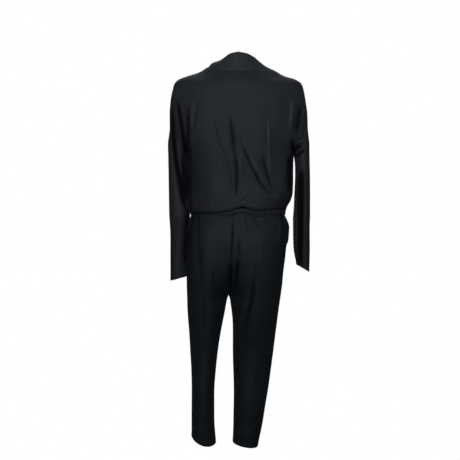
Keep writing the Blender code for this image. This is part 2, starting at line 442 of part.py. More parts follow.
def front_row(fall, side, count):
    line = front_line(fall, side)
    seam = float(at(WRAP, "seam", fall)) * side * -1.0
    if side > 0 and fall <= 0.012:
        seam = float(np.interp(fall, [0.0, 0.012], [0.1033, 0.100]))
    reach = (line[:, 0] - line[0, 0]) * -side
    stop = (seam - line[0, 0]) * -side
    keep = reach < stop - 1e-6
    end = np.array([np.interp(stop, reach, line[:, k]) for k in range(3)])
    line = np.concatenate([line[keep], end[None]])
    missing = usual_half(fall, side, -1) - length(half_slice(fall, side, -1))
    row = even(line[::-1], count + 1, length(line) + missing)[::-1]
    if fall <= 0.0:
        row = line[0] + (line[-1] - line[0]) * np.linspace(0, 1, count + 1)[:, None]
    edge = ease(np.linspace(0, 1, count + 1) * 4.0)
    return push(row, layer(row, fall, side) * edge)


def spread(values):
    """The values with FINE steps for each step between them."""
    count = len(values) - 1
    return np.interp(np.linspace(0, count, count * FINE + 1), np.arange(count + 1), values)


def arm_falls(count):
    """Falls at even turns round the rim of the armhole, from its top to the underarm."""
    turn = np.linspace(0.0, math.pi, count + 1)
    return ARM_TOP + (ARM_BASE - ARM_TOP) * (1.0 - np.cos(turn)) / 2.0


def falls():
    """Fall of each row of the bodice, at the armhole and in the middle of the piece."""
    above, below = spread(FALLS_ABOVE), spread(FALLS_BELOW)
    rim = arm_falls(COUNTS["arm"] * FINE)
    even_ = np.linspace(ARM_TOP, ARM_BASE, len(rim))
    return [np.concatenate([above, within[1:-1], below]) for within in (rim, even_)]


def woven(row_at, reach):
    """Rows of a bodice piece. They meet the armhole at even turns, where reach is 1, and lie evenly
    one below the other in the middle, where it is 0."""
    dense = arm_falls(ARM_DENSE)
    stack = np.array([row_at(fall) for fall in dense])
    column = np.arange(len(reach))
    out = []
    for rim, middle in zip(*falls()):
        row = row_at(rim)
        if ARM_TOP < rim < ARM_BASE:
            fall = middle + (rim - middle) * reach
            turn = np.arccos(np.clip(1.0 - 2.0 * (fall - ARM_TOP) / (ARM_BASE - ARM_TOP), -1.0, 1.0))
            place = turn / math.pi * ARM_DENSE
            k = np.minimum(place.astype(int), ARM_DENSE - 1)
            t = (place - k)[:, None]
            between = stack[k, column] * (1.0 - t) + stack[k + 1, column] * t
            row = np.where((reach == 1.0)[:, None], row, between)
        out.append(row)
    return np.array(out)


# ---------------------------------------------------------------- collar

def chest(x, z):
    """Depth of the front at a point of the chest or waist."""
    fall = np.interp(-z, -BODICE["level"][:16], BODICE["fall"][:16])
    width = np.where(x > 0, at(BODICE, "left", fall), at(BODICE, "right", fall))
    square = at(BODICE, "square", fall)
    q = np.clip(np.abs(x) / width, 0.0, 0.995)
    return -at(BODICE, "front", fall) * (1.0 - q ** square) ** (1.0 / square)


def collar_grid(side, seam_points, along, across):
    """Band from its seam edge to its free edge."""
    hand = "left" if side > 0 else "right"
    columns = ("inward", "back", "up_" + hand, "roll_" + hand)
    rows = []
    for point, s in zip(seam_points, along):
        inward, back, up, roll = (float(at(COLLAR, c, s)) for c in columns)
        free = point + np.array([-side * inward, back, up])
        on = float(ease((s - COLLAR_ON_CHEST[0]) / (COLLAR_ON_CHEST[1] - COLLAR_ON_CHEST[0])))
        row = []
        for t in np.linspace(0.0, 1.0, across + 1):
            p = point + (free - point) * t
            if s > 1.0:
                here = min(s - 1.0, float(np.interp(-p[2], -BODICE["level"][:16], BODICE["fall"][:16])))
                here = here + (s - 1.0 - here) * max(1.0 - 2.0 * t, 0.0)
                lift = layer(p[None], here, side)[0]
                base = layer(point[None], s - 1.0, side)[0]
                flat_y = float(chest(p[0], p[2])) + (point[1] - float(chest(point[0], point[2])))
                p[1] = p[1] * (1.0 - on) + (flat_y - (lift - base)) * on
            swell = roll * math.sin(math.pi * t)
            if s > 1.06:
                swell *= 1.0 - min(1.0, abs(float(lift)) / 0.004)
            ahead = math.cos(math.pi / 2 * min(s, 1.0)) if s < 1.0 else 0.0
            out = np.array([side * (0.85 - 0.6 * on) * (1 - ahead),
                            ahead - (0.25 + 0.75 * on) * (s >= 1.0), 0.35 * (1 - on)])
            row.append(p + out * swell)
        rows.append(row)
    return np.array(rows)


# ---------------------------------------------------------------- sleeves

def sleeve_ring(tab, side, level, turn):
    """One ring of a sleeve, from its inner side round the back."""
    outer, inner = at(tab, "outer", level), at(tab, "inner", level)
    centre, half = (outer + inner) / 2, (outer - inner) / 2
    mid, deep, tilt = at(tab, "mid", level), at(tab, "deep", level), at(tab, "tilt", level)
    full = 1.0 + 0.10 * ease((-0.25 - level) / 0.08)
    c, s = np.cos(turn), np.sin(turn)
    px = np.sign(c) * np.abs(c) ** (1.0 / full)
    py = np.sign(s) * np.abs(s) ** (1.0 / full)
    return np.stack([side * (centre - half * px), mid + deep * py, level - tilt * px], axis=1)


# ---------------------------------------------------------------- trousers

def leg_row(tab, face, level):
    """One level of half a leg, from the side seam to the inside of the leg."""
    outer, inner = float(at(tab, "outer", level)), float(at(tab, "inner", level))
    crest, mid = float(at(tab, "crest", level)), float(at(tab, "mid", level))
    deep = float(at(tab, "back" if face > 0 else "front", level))
    top = mid + face * deep
    inner_y = mid
    if level > CROTCH + 1e-9:
        inner = float(at(RISE, "back_x" if face > 0 else "front_x", level))
        inner_y = float(at(RISE, "back" if face > 0 else "front", level))
    elif abs(level - CROTCH) < 1e-9:
        inner, inner_y = 0.0347, 0.0040
    else:
        inner_y = 0.0040 + (mid - 0.0040) * float(ease((CROTCH - level) / 0.05))
    square = 2.3 - 0.3 * float(ease((-0.75 - level) / 0.2))
    if level > -0.60:
        square = 2.4 - 0.1 * float(ease((-0.52 - level) / 0.08))
    t = np.linspace(0.0, math.pi / 2, DENSE)
    x1 = crest + (outer - crest) * np.maximum(np.cos(t), 0.0) ** (2.0 / square)
    y1 = mid + (top - mid) * np.sin(t) ** (2.0 / square)
    q = np.sin(t)
    x2 = crest + (inner - crest) * q
    oval = np.maximum(np.cos(t), 0.0)
    bend = 1.0 - q ** 1.8
    w = float(ease((CROTCH + 0.01 - level) / 0.05))
    y2 = inner_y + (top - inner_y) * (oval * w + bend * (1.0 - w))
    x1[0], y1[0], x2[-1], y2[-1] = outer, mid, inner, inner_y
    line = np.stack([np.concatenate([x1, x2[1:]]), np.concatenate([y1, y2[1:]])], axis=1)
    line = np.concatenate([line, np.full((len(line), 1), level)], axis=1)
    return line


def waist_arc(side, face, seam, level):
    """The waist line from the side seam to the centre seam."""
    square = WAIST["square"]
    t = np.linspace(math.pi / 2, -math.pi / 2, 2 * DENSE)
    s, c = np.sin(t), np.maximum(np.cos(t), 0.0)
    width = np.where(s * side > 0, WAIST["left"], WAIST["right"])
    x = side * np.sign(s) * np.abs(s) ** (2.0 / square) * width
    y = face * WAIST["back" if face > 0 else "front"] * c ** (2.0 / square)
    y[0] = 0.0
    reach = (x - x[0]) * -side
    stop = (seam - x[0]) * -side
    keep = reach < stop - 1e-6
    end = np.array([seam, np.interp(stop, reach, y)])
    flat = np.concatenate([np.stack([x, y], axis=1)[keep], end[None]])
    return np.concatenate([flat, np.full((len(flat), 1), level)], axis=1)


def gape(level, side):
    """How far the pocket mouth stands open at a level, from 0 to 1."""
    t = (POCKET["top"] - level) / (POCKET["top"] - POCKET["bottom"])
    return math.sin(math.pi * min(max(t, 0.0), 1.0)) * POCKET_SIDE[side]


def leg_grid(tab, side, face, levels, count):
    """Half a leg, with the pocket mouth standing off at the side of the front."""
    rows = []
    hem = HEM_LEFT if side > 0 else HEM_RIGHT
    for level in levels:
        line = leg_row(tab, face, level)
        g = gape(level, side) if face < 0 else 0.0
        if g > 0.0:
            past = POCKET["past"] * max(0.0, g - 0.60) / 0.40
            stand = POCKET["stand"] * min(1.0, g * 2.6)
            back = leg_row(tab, 1, level)
            along = np.concatenate([[0.0], np.cumsum(np.linalg.norm(np.diff(back, axis=0), axis=1))])
            if past > 0.0:
                extra = [np.array([np.interp(d, along, back[:, k]) for k in range(3)])
                         for d in np.linspace(past, past / 6, 6)]
                line = np.concatenate([np.array(extra), line])
        row = even(line, count + 1)
        if level > -0.575:
            seam = float(at(RISE, "back_x" if face > 0 else "front_x", level))
            ring = even(waist_arc(side, face, seam, level), count + 1)
            row = ring + (row - ring) * float(ease((LEG_TOP - level) / 0.050))
            drape = casing_line(row[:, 0], row[:, 1], -1.0) - LEG_TOP
            row[:, 2] += drape * float(ease((level + 0.600) / 0.0765))
        if g > 0.0:
            near = np.concatenate([[0.0], np.cumsum(np.linalg.norm(np.diff(row, axis=0), axis=1))])
            row[:, 0] += side * stand * (1.0 - ease((near - past) / 0.035))
        w = float(ease((-1.20 - level) / 0.151))
        outer, inner = float(at(tab, "outer", level)), float(at(tab, "inner", level))
        reach = (row[:, 0] - inner) / (outer - inner) * 2.0 - 1.0
        row[:, 2] += w * (hem["lift"] + hem["tilt"] * reach + hem["bow"] * reach ** 2
                          - hem["front"] * np.clip(row[:, 1] / 0.06, -1, 1))
        rows.append(row)
    return np.array(rows)


# ---------------------------------------------------------------- casing

def casing_line(x, y, part):
    """Height of a casing line, part from -1 at its lower edge to 1 at its upper edge."""
    back = ease((y + 0.03) / 0.06)
    z = back * at(CASING_BACK, "z", x) + (1 - back) * at(CASING_FRONT, "z", x)
    half = back * at(CASING_BACK, "half", x) + (1 - back) * at(CASING_FRONT, "half", x)
    return z + half * part


def casing_grid(around_points, across):
    rows = []
    for part in np.linspace(-1.0, 1.0, across + 1):
        ring = around_points.copy()
        ring[:, 2] = casing_line(ring[:, 0], ring[:, 1], part)
        swell = CASING_SWELL * (1.0 - part * part)
        size = np.linalg.norm(ring[:, :2], axis=1, keepdims=True)
        ring[:, :2] += ring[:, :2] / size * swell
        rows.append(ring)
    return np.array(rows)


# ---------------------------------------------------------------- folds and walls

def fold_field(points, tab):
    """Height of all folds of a table at each point, by its place in front view."""
    xz = points[..., [0, 2]].reshape(-1, 2)
    total = np.zeros(len(xz))
    s = np.linspace(0.0, 1.0, 17)
    for i in range(len(tab["x0"])):
        wide, height, sharp = tab["wide"][i], tab["height"][i], tab["sharp"][i]
        a = np.array([tab["x0"][i], tab["z0"][i]])
        m = np.array([tab["xm"][i], tab["zm"][i]])
        b = np.array([tab["x1"][i], tab["z1"][i]])
        ctrl = 2 * m - (a + b) / 2
        line = (np.outer((1 - s) ** 2, a) + np.outer(2 * s * (1 - s), ctrl) + np.outer(s * s, b))
        box = ((xz > line.min(0) - 3 * wide) & (xz < line.max(0) + 3 * wide)).all(axis=1)
        if not box.any():
            continue
        p = xz[box]
        best = np.full(len(p), 1e9)
        place = np.zeros(len(p))
        for k in range(len(s) - 1):
            d = line[k + 1] - line[k]
            u = np.clip(((p - line[k]) @ d) / (d @ d), 0.0, 1.0)
            away = np.linalg.norm(p - (line[k] + u[:, None] * d), axis=1)
            near = away < best
            best = np.where(near, away, best)
            place = np.where(near, (k + u) / (len(s) - 1), place)
        taper = ease(place / 0.35) * ease((1.0 - place) / 0.35)
        shape = np.exp(-np.abs(best / wide) ** (2.0 / sharp ** 0.5) * 0.9)
        total[box] += height * taper * shape
    return total.reshape(points.shape[:-1])


def normals_of(grid, closed):
    """Outward unit normals of a grid of points, rows down and columns round."""
    if closed:
        wrap = np.concatenate([grid[:, -1:], grid, grid[:, :1]], axis=1)
        across = (wrap[:, 2:] - wrap[:, :-2])
    else:
        across = np.gradient(grid, axis=1)
    down = np.gradient(grid, axis=0)
    n = np.cross(across, down)
    size = np.linalg.norm(n, axis=2, keepdims=True)
    return n / np.maximum(size, 1e-12)


# ---------------------------------------------------------------- the cut pieces

# Steps across each piece, half of the back and of the armhole's rim, and down the sleeves and legs
COUNTS = {"back": 18, "front": 14, "collar": 3, "arm": 8, "sleeve": 12, "seat": 9, "leg": 12,
          "trouser_back": 12, "trouser_front": 9, "casing": 3}


def bodice_pieces():
    """The back, both fronts, both halves of the shawl band and the sleeves."""
    half, count = COUNTS["back"] * FINE, COUNTS["front"] * FINE
    middle_falls = falls()[1]
    calm = 1.0 - ease((middle_falls - 0.490) / 0.024)
    aside = np.abs(np.arange(-half, half + 1)) / half
    back = woven(lambda fall: back_row(fall, half), ease((aside - 0.25) / 0.65))
    out = {"bodice_back": (back, False, "upper", calm[:, None], (0, 1, 0))}
    aside = 1.0 - np.arange(count + 1) / count
    for name, side, tab in (("left", 1, SLEEVE_LEFT), ("right", -1, SLEEVE_RIGHT)):
        front = woven(lambda fall: front_row(fall, side, count), ease((aside - 0.30) / 0.60))
        out["bodice_front_" + name] = (front, False, "upper", calm[:, None], (0, -1, 0))
        neck = back[0, :half + 1][::-1] if side > 0 else back[0, half:]
        seam = np.concatenate([neck, front[:, -1]])
        along = np.concatenate([np.linspace(0.0, 1.0, half + 1), [1.003], 1.0 + middle_falls[1:]])
        band = collar_grid(side, seam, along, COUNTS["collar"] * FINE)
        quiet = np.concatenate([np.ones(half + 1), calm])
        out["collar_" + name] = (band, False, "upper", quiet[:, None], "band")
        levels = np.interp(np.linspace(0, 1, COUNTS["sleeve"] * FINE + 1), [0, 0.08, 0.25, 1.0],
                           [-0.250, -0.278, -0.350, tab["level"][-1]])
        turn = np.linspace(0.0, 2 * math.pi, 2 * COUNTS["arm"] * FINE + 1)[:-1]
        tube = np.array([sleeve_ring(tab, side, level, turn) for level in levels])
        out["sleeve_" + name] = (tube, True, "upper", 1.0, "tube")
    return out


def trouser_pieces():
    """Back and front of each leg, and the casing round the waist."""
    levels = np.interp(np.linspace(0, 1, COUNTS["seat"] * FINE + 1), [0, 0.12, 0.35, 0.6, 0.8, 1.0],
                       [LEG_TOP, -0.545, -0.620, -0.710, -0.775, CROTCH])
    low = np.interp(np.linspace(0, 1, COUNTS["leg"] * FINE + 1), [0, 0.1, 0.3, 0.6, 0.85, 1.0],
                    [CROTCH, -0.835, -0.920, -1.090, -1.270, -1.351])
    levels = np.concatenate([levels, low[1:]])
    legs, out = {}, {}
    for name, side, tab in (("left", 1, LEG_LEFT), ("right", -1, LEG_RIGHT)):
        for part, face in (("back", 1), ("front", -1)):
            grid = leg_grid(tab, side, face, levels, COUNTS["trouser_" + part] * FINE)
            below = casing_line(grid[..., 0], grid[..., 1], -1.0) - grid[..., 2]
            legs[part, name] = grid
            out["trouser_%s_%s" % (part, name)] = (grid, False, "lower", ease(below / 0.014), (0, face, 0))
    ring = np.concatenate([legs["back", "left"][0], legs["back", "right"][0, ::-1][1:],
                           legs["front", "right"][0, 1:], legs["front", "left"][0, ::-1][1:-1]])
    out["waistband"] = (casing_grid(ring, COUNTS["casing"] * FINE)[::-1], True, None, 1.0, "tube")
    return out


def pieces():
    """Middle surface of every piece: its points, whether it closes round, its group of folds, how
    freely it folds at each point and which way is out."""
    return {**bodice_pieces(), **trouser_pieces()}


def outward(grid, closed, hint):
    """Unit normals that point out of the garment."""
    n = normals_of(grid, closed)
    if isinstance(hint, str):
        if hint == "tube":
            away = grid - grid.mean(axis=1, keepdims=True)
        else:
            away = (grid - np.array([0.0, -0.02, 0.0])) * np.array([1, 1, 0])
    else:
        away = np.broadcast_to(np.array(hint, float), grid.shape)
    return -n if float((n * away).sum()) < 0 else n


def share(grids, normals):
    """Give points that two pieces share one normal, and how far its wall face leans there."""
    points = np.concatenate([g.reshape(-1, 3) for g in grids])
    flat = np.concatenate([m.reshape(-1, 3) for m in normals])
    keys = np.round(points * 1e7).astype(np.int64)
    _, index = np.unique(keys, axis=0, return_inverse=True)
    index = index.ravel()
    total = np.zeros((index.max() + 1, 3))
    np.add.at(total, index, flat)
    total /= np.maximum(np.linalg.norm(total, axis=1, keepdims=True), 1e-9)
    for _ in range(40):          # turn towards whichever neighbour leans away most
        lean = np.ones(index.max() + 1)
        dots = (flat * total[index]).sum(axis=1)
        np.minimum.at(lean, index, dots)
        worst = (dots <= lean[index] + 1e-9) & (lean[index] < 0.97)
        np.add.at(total, index[worst], 0.12 * flat[worst])
        total /= np.maximum(np.linalg.norm(total, axis=1, keepdims=True), 1e-9)
    lean = np.ones(index.max() + 1)
    np.minimum.at(lean, index, (flat * total[index]).sum(axis=1))
    unit, lean = total[index], np.clip(lean[index], 0.35, 1.0)
    out, leans, k = [], [], 0
    for g in grids:
        size = g.shape[0] * g.shape[1]
        out.append(unit[k:k + size].reshape(g.shape))
        leans.append(lean[k:k + size].reshape(g.shape[:2]))
        k += size
    return out, leans


def folded(made):
    """The middle surfaces with the folds of their group pressed in or raised."""
    names = list(made)
    first = [outward(made[k][0], made[k][1], made[k][4]) for k in names]
    unit, _ = share([made[k][0] for k in names], first)
    out = {}
    for name, n in zip(names, unit):
        grid, _, group, free, _ = made[name]
        if group is not None:
            back, front = FOLDS[group]
            height = (fold_field(grid, back) * ease((n[..., 1] + 0.10) / 0.55)
                      + fold_field(grid, front) * ease((0.10 - n[..., 1]) / 0.55))
            grid = grid + n * (height * free)[..., None]
        out[name] = grid
    return out


def joined(made, grids):
    """Every piece with the normals it shares with its neighbours: its points, whether it closes
    round, its normals and how far each wall face leans from them."""
    names = list(made)
    own = [outward(grids[k], made[k][1], made[k][4]) for k in names]
    unit, lean = share([grids[k] for k in names], own)
    out = {}
    for name, n, w in zip(names, unit, lean):
        grid = grids[name].copy()
        if name.startswith("bodice_front"):        # the short straight end at the neck
            t = np.linspace(0.0, 1.0, grid.shape[1])
            for rows, along in ((grid, t[:, None]), (n, t[:, None]), (w, t)):
                rows[0] = rows[0, 0] + (rows[0, -1] - rows[0, 0]) * along
        out[name] = (grid, made[name][1], n, w)
    return out


def drawn_in(grid, closed, lean, amount):
    """The grid with its open edges drawn in by amount along the cloth."""
    out = grid.copy()

    def step(edge, next_, weight):
        d = next_ - edge
        size = np.linalg.norm(d, axis=1, keepdims=True)
        return edge + d / np.maximum(size, 1e-9) * np.minimum(amount / weight[:, None], size * 0.3)

    out[0] = step(out[0], grid[1], lean[0])
    out[-1] = step(out[-1], grid[-2], lean[-1])
    if not closed:
        out[:, 0] = step(out[:, 0], out[:, 1], lean[:, 0])
        out[:, -1] = step(out[:, -1], out[:, -2], lean[:, -1])
    return out


def wall_mesh(grid, closed, unit, lean, wall, seam):
    """Points and triangles of the closed wall round a middle surface."""
    grid = drawn_in(grid, closed, lean, seam / 2)
    half = (wall / 2 / lean)[..., None]
    down, across = grid.shape[:2]
    size = down * across
    points = np.concatenate([(grid + unit * half).reshape(-1, 3), (grid - unit * half).reshape(-1, 3)])
    middle = grid.reshape(-1, 3)
    number = np.arange(size).reshape(down, across)
    if closed:
        number = np.concatenate([number, number[:, :1]], axis=1)
    a, b = number[:-1, :-1].ravel(), number[:-1, 1:].ravel()
    c, d = number[1:, 1:].ravel(), number[1:, :-1].ravel()
    one_way = np.linalg.norm(middle[a] - middle[c], axis=1)
    short = (one_way <= np.linalg.norm(middle[b] - middle[d], axis=1))[:, None]
    one = np.where(short, np.stack([a, b, c], 1), np.stack([a, b, d], 1))
    two = np.where(short, np.stack([a, c, d], 1), np.stack([b, c, d], 1))
    sheet = np.concatenate([one, two])
    faces = [sheet, sheet[:, ::-1] + size]
    edges = [np.stack([number[0, 1:], number[0, :-1]], 1), np.stack([number[-1, :-1], number[-1, 1:]], 1)]
    if not closed:
        edges += [np.stack([number[:-1, 0], number[1:, 0]], 1),
                  np.stack([number[1:, -1], number[:-1, -1]], 1)]
    for p, q in np.concatenate(edges):
        # both pieces at a seam split its end faces from the higher point
        if middle[p][2] > middle[q][2]:
            faces.append(np.array([[p, q, q + size], [p, q + size, p + size]]))
        else:
            faces.append(np.array([[p, q, p + size], [q, q + size, p + size]]))
    return points, np.concatenate(faces)


# ---------------------------------------------------------------- solids

def clear():
    for item in list(bpy.data.objects):
        bpy.data.objects.remove(item, do_unlink=True)


def cloth(name, colour, rough):
    material = bpy.data.materials.new(name)
    material.use_nodes = True
    node = material.node_tree.nodes["Principled BSDF"]
    node.inputs["Base Color"].default_value = (*colour, 1.0)
    node.inputs["Roughness"].default_value = rough
    node.inputs["Sheen Weight"].default_value = 0.15
    return material


def solid(name, grid, closed, unit, lean, wall, material):
    """Closed wall round the middle surface, as one object."""
    points, faces = wall_mesh(grid, closed, unit, lean, wall, SEAM)
    mesh = bpy.data.meshes.new(name)
    mesh.from_pydata([tuple(p) for p in points.tolist()], [], [tuple(f) for f in faces.tolist()])
    mesh.validate()
    bm = bmesh.new()
    bm.from_mesh(mesh)
    bmesh.ops.recalc_face_normals(bm, faces=bm.faces)
    if bm.calc_volume(signed=True) < 0:
        bmesh.ops.reverse_faces(bm, faces=bm.faces)
    bm.to_mesh(mesh)
    bm.free()
    for polygon in mesh.polygons:
        polygon.use_smooth = True
    mesh.materials.append(material)
    body = bpy.data.objects.new(name, mesh)
    bpy.context.scene.collection.objects.link(body)
    return body


COLOURS = {"bodice": (0.021, 0.022, 0.024), "collar": (0.024, 0.025, 0.027), "sleeve": (0.020, 0.021, 0.023),
           "waistband": (0.018, 0.019, 0.021), "trouser": (0.016, 0.018, 0.019)}


def build():
    clear()
    made = pieces()
    for name, (grid, closed, unit, lean) in joined(made, folded(made)).items():
        colour = COLOURS[name.split("_")[0]]
        wall = CASING_WALL if name == "waistband" else WALL
        solid(name, grid, closed, unit, lean, wall, cloth(name + "_cloth", colour, 0.72))


build()
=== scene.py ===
"""Looks of a black jersey jumpsuit, worn and hollow, seen from behind: thin shells on the solids' form
with their folds, seams, hems and stitches, a knitted cloth and a plain white studio."""

import math
from collections import namedtuple

import bmesh
import bpy
import numpy as np
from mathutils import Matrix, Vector


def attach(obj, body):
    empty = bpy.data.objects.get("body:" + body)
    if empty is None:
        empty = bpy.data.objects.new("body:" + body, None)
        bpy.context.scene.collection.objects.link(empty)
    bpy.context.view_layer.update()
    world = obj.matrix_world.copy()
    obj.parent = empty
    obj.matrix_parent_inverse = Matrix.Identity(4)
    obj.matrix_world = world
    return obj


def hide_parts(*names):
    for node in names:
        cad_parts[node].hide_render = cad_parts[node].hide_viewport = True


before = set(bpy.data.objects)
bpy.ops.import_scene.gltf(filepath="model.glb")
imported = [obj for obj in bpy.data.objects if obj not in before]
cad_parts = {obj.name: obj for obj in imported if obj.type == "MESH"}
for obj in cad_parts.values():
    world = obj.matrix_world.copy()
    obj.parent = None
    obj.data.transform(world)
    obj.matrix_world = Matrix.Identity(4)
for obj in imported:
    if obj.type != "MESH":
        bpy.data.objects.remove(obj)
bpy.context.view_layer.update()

FINE = 6              # times as many rows and columns as the solids
WALL = 0.0016         # thickness of one layer of jersey as it shows
CASING_WALL = 0.003
CASING_SWELL = 0.0016
HAND = {1: "left", -1: "right"}
FACE = {1: "back", -1: "front"}

# ---------------------------------------------------------------- section tables

def table(columns, rows):
    """Columns of a table by name. Whole numbers are tenths of a millimetre, others are ratios."""
    names = columns.split()
    numbers = [float(word) if "." in word else int(word) / 10000.0 for word in rows.split()]
    data = np.array(numbers).reshape(-1, len(names))
    return {name: data[:, i] for i, name in enumerate(names)}


# Bodice, from the neckline down. fall: way down the centre back; level: height there; rise: how much
# higher the shoulder end lies; left, right: half widths; back, front: depths; square: corner fullness
BODICE = table("fall level rise left right back front square", """
0 -100 280 1040 1000 740 700 2.0
120 -190 300 1185 1170 800 770 2.0
260 -300 290 1390 1400 870 830 2.0
400 -410 264 1735 1645 920 880 2.05
530 -520 228 2140 2070 960 920 2.1
680 -650 202 2305 2305 990 960 2.15
900 -850 163 2375 2385 1020 1010 2.2
1200 -1130 90 2445 2450 1050 1060 2.25
1600 -1550 0 2490 2530 1080 1120 2.3
2050 -2000 0 2540 2588 1090 1170 2.35
3050 -3000 0 1860 2035 1070 1130 2.6
3450 -3400 0 1842 2005 1060 1080 2.6
4000 -3950 0 1835 2003 1060 1050 2.6
4500 -4450 0 1834 1985 1070 1050 2.6
4820 -4770 0 1818 1915 1080 1060 2.55
5050 -5000 0 1790 1785 1080 1060 2.5
5140 -5080 0 1775 1755 1065 1045 2.45
5200 -5120 0 1763 1757 1035 1015 2.4
5260 -5080 0 1755 1747 1002 982 2.4""")
CHEST_ROWS = 16       # rows down to the waist, where levels still fall
# How far forward of the middle each side seam runs
SIDE = table("fall left right", """
3050 0 0  3450 -180 0  4000 -240 0  4500 -220 0
4820 -140 0  5050 -40 0  5260 0 0""")
# Lowest line of the blouse across the back and front
BLOUSE = {1: table("x z", """
-1900 -5000  -1500 -4985  -1100 -5030  -660 -5075  -340 -5010  -150 -4940
50 -5000  220 -5075  470 -5120  770 -5150  1200 -5155  1700 -5150"""), -1: table("x z", """
-1900 -5050  -1200 -5140  -500 -5080  300 -5160  1100 -5110  1900 -5080""")}
# Middle line of the elastic casing, as it rolls round the waist
CASING_BACK = table("x z half", """
-1800 -5100 105  -1400 -5105 100  -660 -5120 105  -300 -5095 90  -120 -5080 75
60 -5105 85  300 -5145 105  600 -5145 105  1200 -5125 105  1800 -5120 105""")
CASING_FRONT = table("x z half", "-1800 -5100 105  0 -5130 105  1800 -5120 105")
WAIST = {"left": 0.1710, "right": 0.1700, "back": 0.0955, "front": 0.0935, "square": 2.4}

# Seam line where the shawl band meets each front: x towards the centre is positive for both
WRAP = table("fall seam", """
0 -994  120 -990  400 -985  680 -965  1100 -870  1600 -700  2050 -520
2550 -300  3050 -60  3550 200  4050 460  4550 700  5050 930  5260 1010""")
LEFT_NECK = ([0.0, 0.012], [0.1033, 0.100])     # fall and x of the left seam close to the neck
# Free edge of the band, as a step from its seam edge. along: 0 centre back, 1 neck point, then
# 1 + fall down the front; inward is towards the centre, back is +Y, up is +Z, roll the fullness
COLLAR = table("along inward back up_left up_right roll_left roll_right", """
0.0 0 -170 722 722 20 20
0.25 50 -180 660 670 20 20
0.45 130 -190 530 590 30 20
0.8 270 -200 300 360 70 30
1.0 370 -120 240 240 90 40
1.012 360 -60 260 260 90 60
1.04 400 -40 310 310 80 70
1.068 430 -40 300 300 60 60
1.11 470 -40 260 260 50 50
1.3 480 0 250 250 40 40
1.48 400 0 180 180 30 30
1.526 360 0 60 60 10 10""")
COLLAR_ON_CHEST = (1.068, 1.130)      # from here the band follows the chest
CROSSED_FROM, CROSSED_FLAT = 1.06, 0.004      # where it lies flatter as the fronts part, and how far

# Sleeves from armhole to cuff. tilt: how much higher the outer side lies; mid: centre in Y
SLEEVE_COLUMNS = "level tilt outer inner mid deep"
SLEEVES = {1: table(SLEEVE_COLUMNS, """
-2500 500 2540 1860 0 570
-2830 340 2538 1878 100 550
-3200 180 2518 1842 250 530
-3600 80 2502 1812 400 510
-4100 20 2485 1785 510 490
-4600 0 2472 1775 560 480
-5100 0 2460 1732 600 470
-5400 0 2452 1752 610 470
-5700 0 2445 1800 580 460
-6300 0 2431 1850 530 450
-6950 -30 2418 1860 500 430
-7500 -75 2412 1885 500 410"""), -1: table(SLEEVE_COLUMNS, """
-2500 500 2588 2035 0 570
-2830 340 2592 2055 30 550
-3200 180 2598 2068 70 520
-3600 80 2601 2070 110 500
-4100 20 2602 2058 150 480
-4600 0 2602 2035 190 470
-5100 0 2600 2000 220 460
-5600 0 2600 1950 240 450
-6000 0 2598 1962 240 430
-6500 -30 2590 2015 220 410
-6900 -80 2580 2090 210 400
-7150 -130 2570 2125 200 390""")}

# Trouser legs. outer, inner: signed x of the side seam and the inside of the leg; crest: x where the
# leg is deepest; mid: y of the side seam
LEG_COLUMNS = "level outer inner crest back front mid"
LEGS = {1: table(LEG_COLUMNS, """
-5200 1710 150 900 955 935 0
-5400 1790 185 900 1060 985 10
-5800 1830 200 900 1140 1000 20
-6300 1855 230 910 1190 990 20
-6800 1862 262 930 1195 970 20
-7300 1862 290 960 1160 945 20
-7700 1860 320 1000 1115 930 10
-8000 1852 340 1040 1080 920 0
-8140 1848 347 1060 1065 915 0
-8250 1843 387 1080 1050 910 0
-8470 1837 436 1100 1030 900 -10
-8690 1829 478 1120 1000 885 -20
-9125 1803 566 1160 940 850 -40
-9560 1774 646 1190 870 810 -60
-10000 1745 719 1220 800 760 -80
-10880 1700 819 1250 710 660 -50
-11750 1682 870 1270 660 590 40
-12630 1679 867 1270 590 545 110
-13510 1678 815 1250 525 520 140"""), -1: table(LEG_COLUMNS, """
-5200 -1700 150 -600 955 935 0
-5400 -1858 185 -600 1060 985 10
-5800 -1822 200 -600 1140 1000 20
-6100 -1800 220 -600 1180 995 20
-6400 -1740 238 -610 1192 985 20
-6800 -1700 262 -600 1195 970 20
-7300 -1640 290 -580 1160 945 20
-7700 -1600 320 -560 1115 930 10
-8000 -1560 340 -550 1080 920 0
-8140 -1542 347 -540 1065 915 0
-8250 -1528 307 -550 1050 910 0
-8470 -1500 268 -560 1030 900 -10
-8690 -1471 234 -570 1000 885 -20
-9125 -1416 190 -580 940 850 -40
-9560 -1358 182 -560 870 810 -60
-10000 -1303 179 -540 800 760 -80
-10880 -1175 162 -490 700 650 -30
-11750 -1050 150 -440 640 570 40
-12630 -893 152 -370 560 515 90
-13510 -705 188 -280 490 480 120""")}
# Centre seams above the crotch: x and y of the back seam and of the front seam
RISE = table("level back_x back front_x front", """
-5200 170 950 120 -930
-5400 182 1050 130 -975
-5800 200 1120 150 -985
-6300 240 1155 190 -965
-6800 268 1120 230 -905
-7300 295 970 275 -780
-7700 320 720 315 -570
-8000 340 350 340 -250
-8140 347 40 347 40""")
LEG_TOP, CROTCH = -0.5235, -0.814
UNDER_WAIST, OWN_SHAPE = -0.575, 0.050      # legs take up the waist's round form above and within these
HEM_FROM, HEM_OVER = -1.20, 0.151     # level below which the hem's slope sets in, and over how much
CROTCH_POINT = (0.0347, 0.0040)       # its x and y
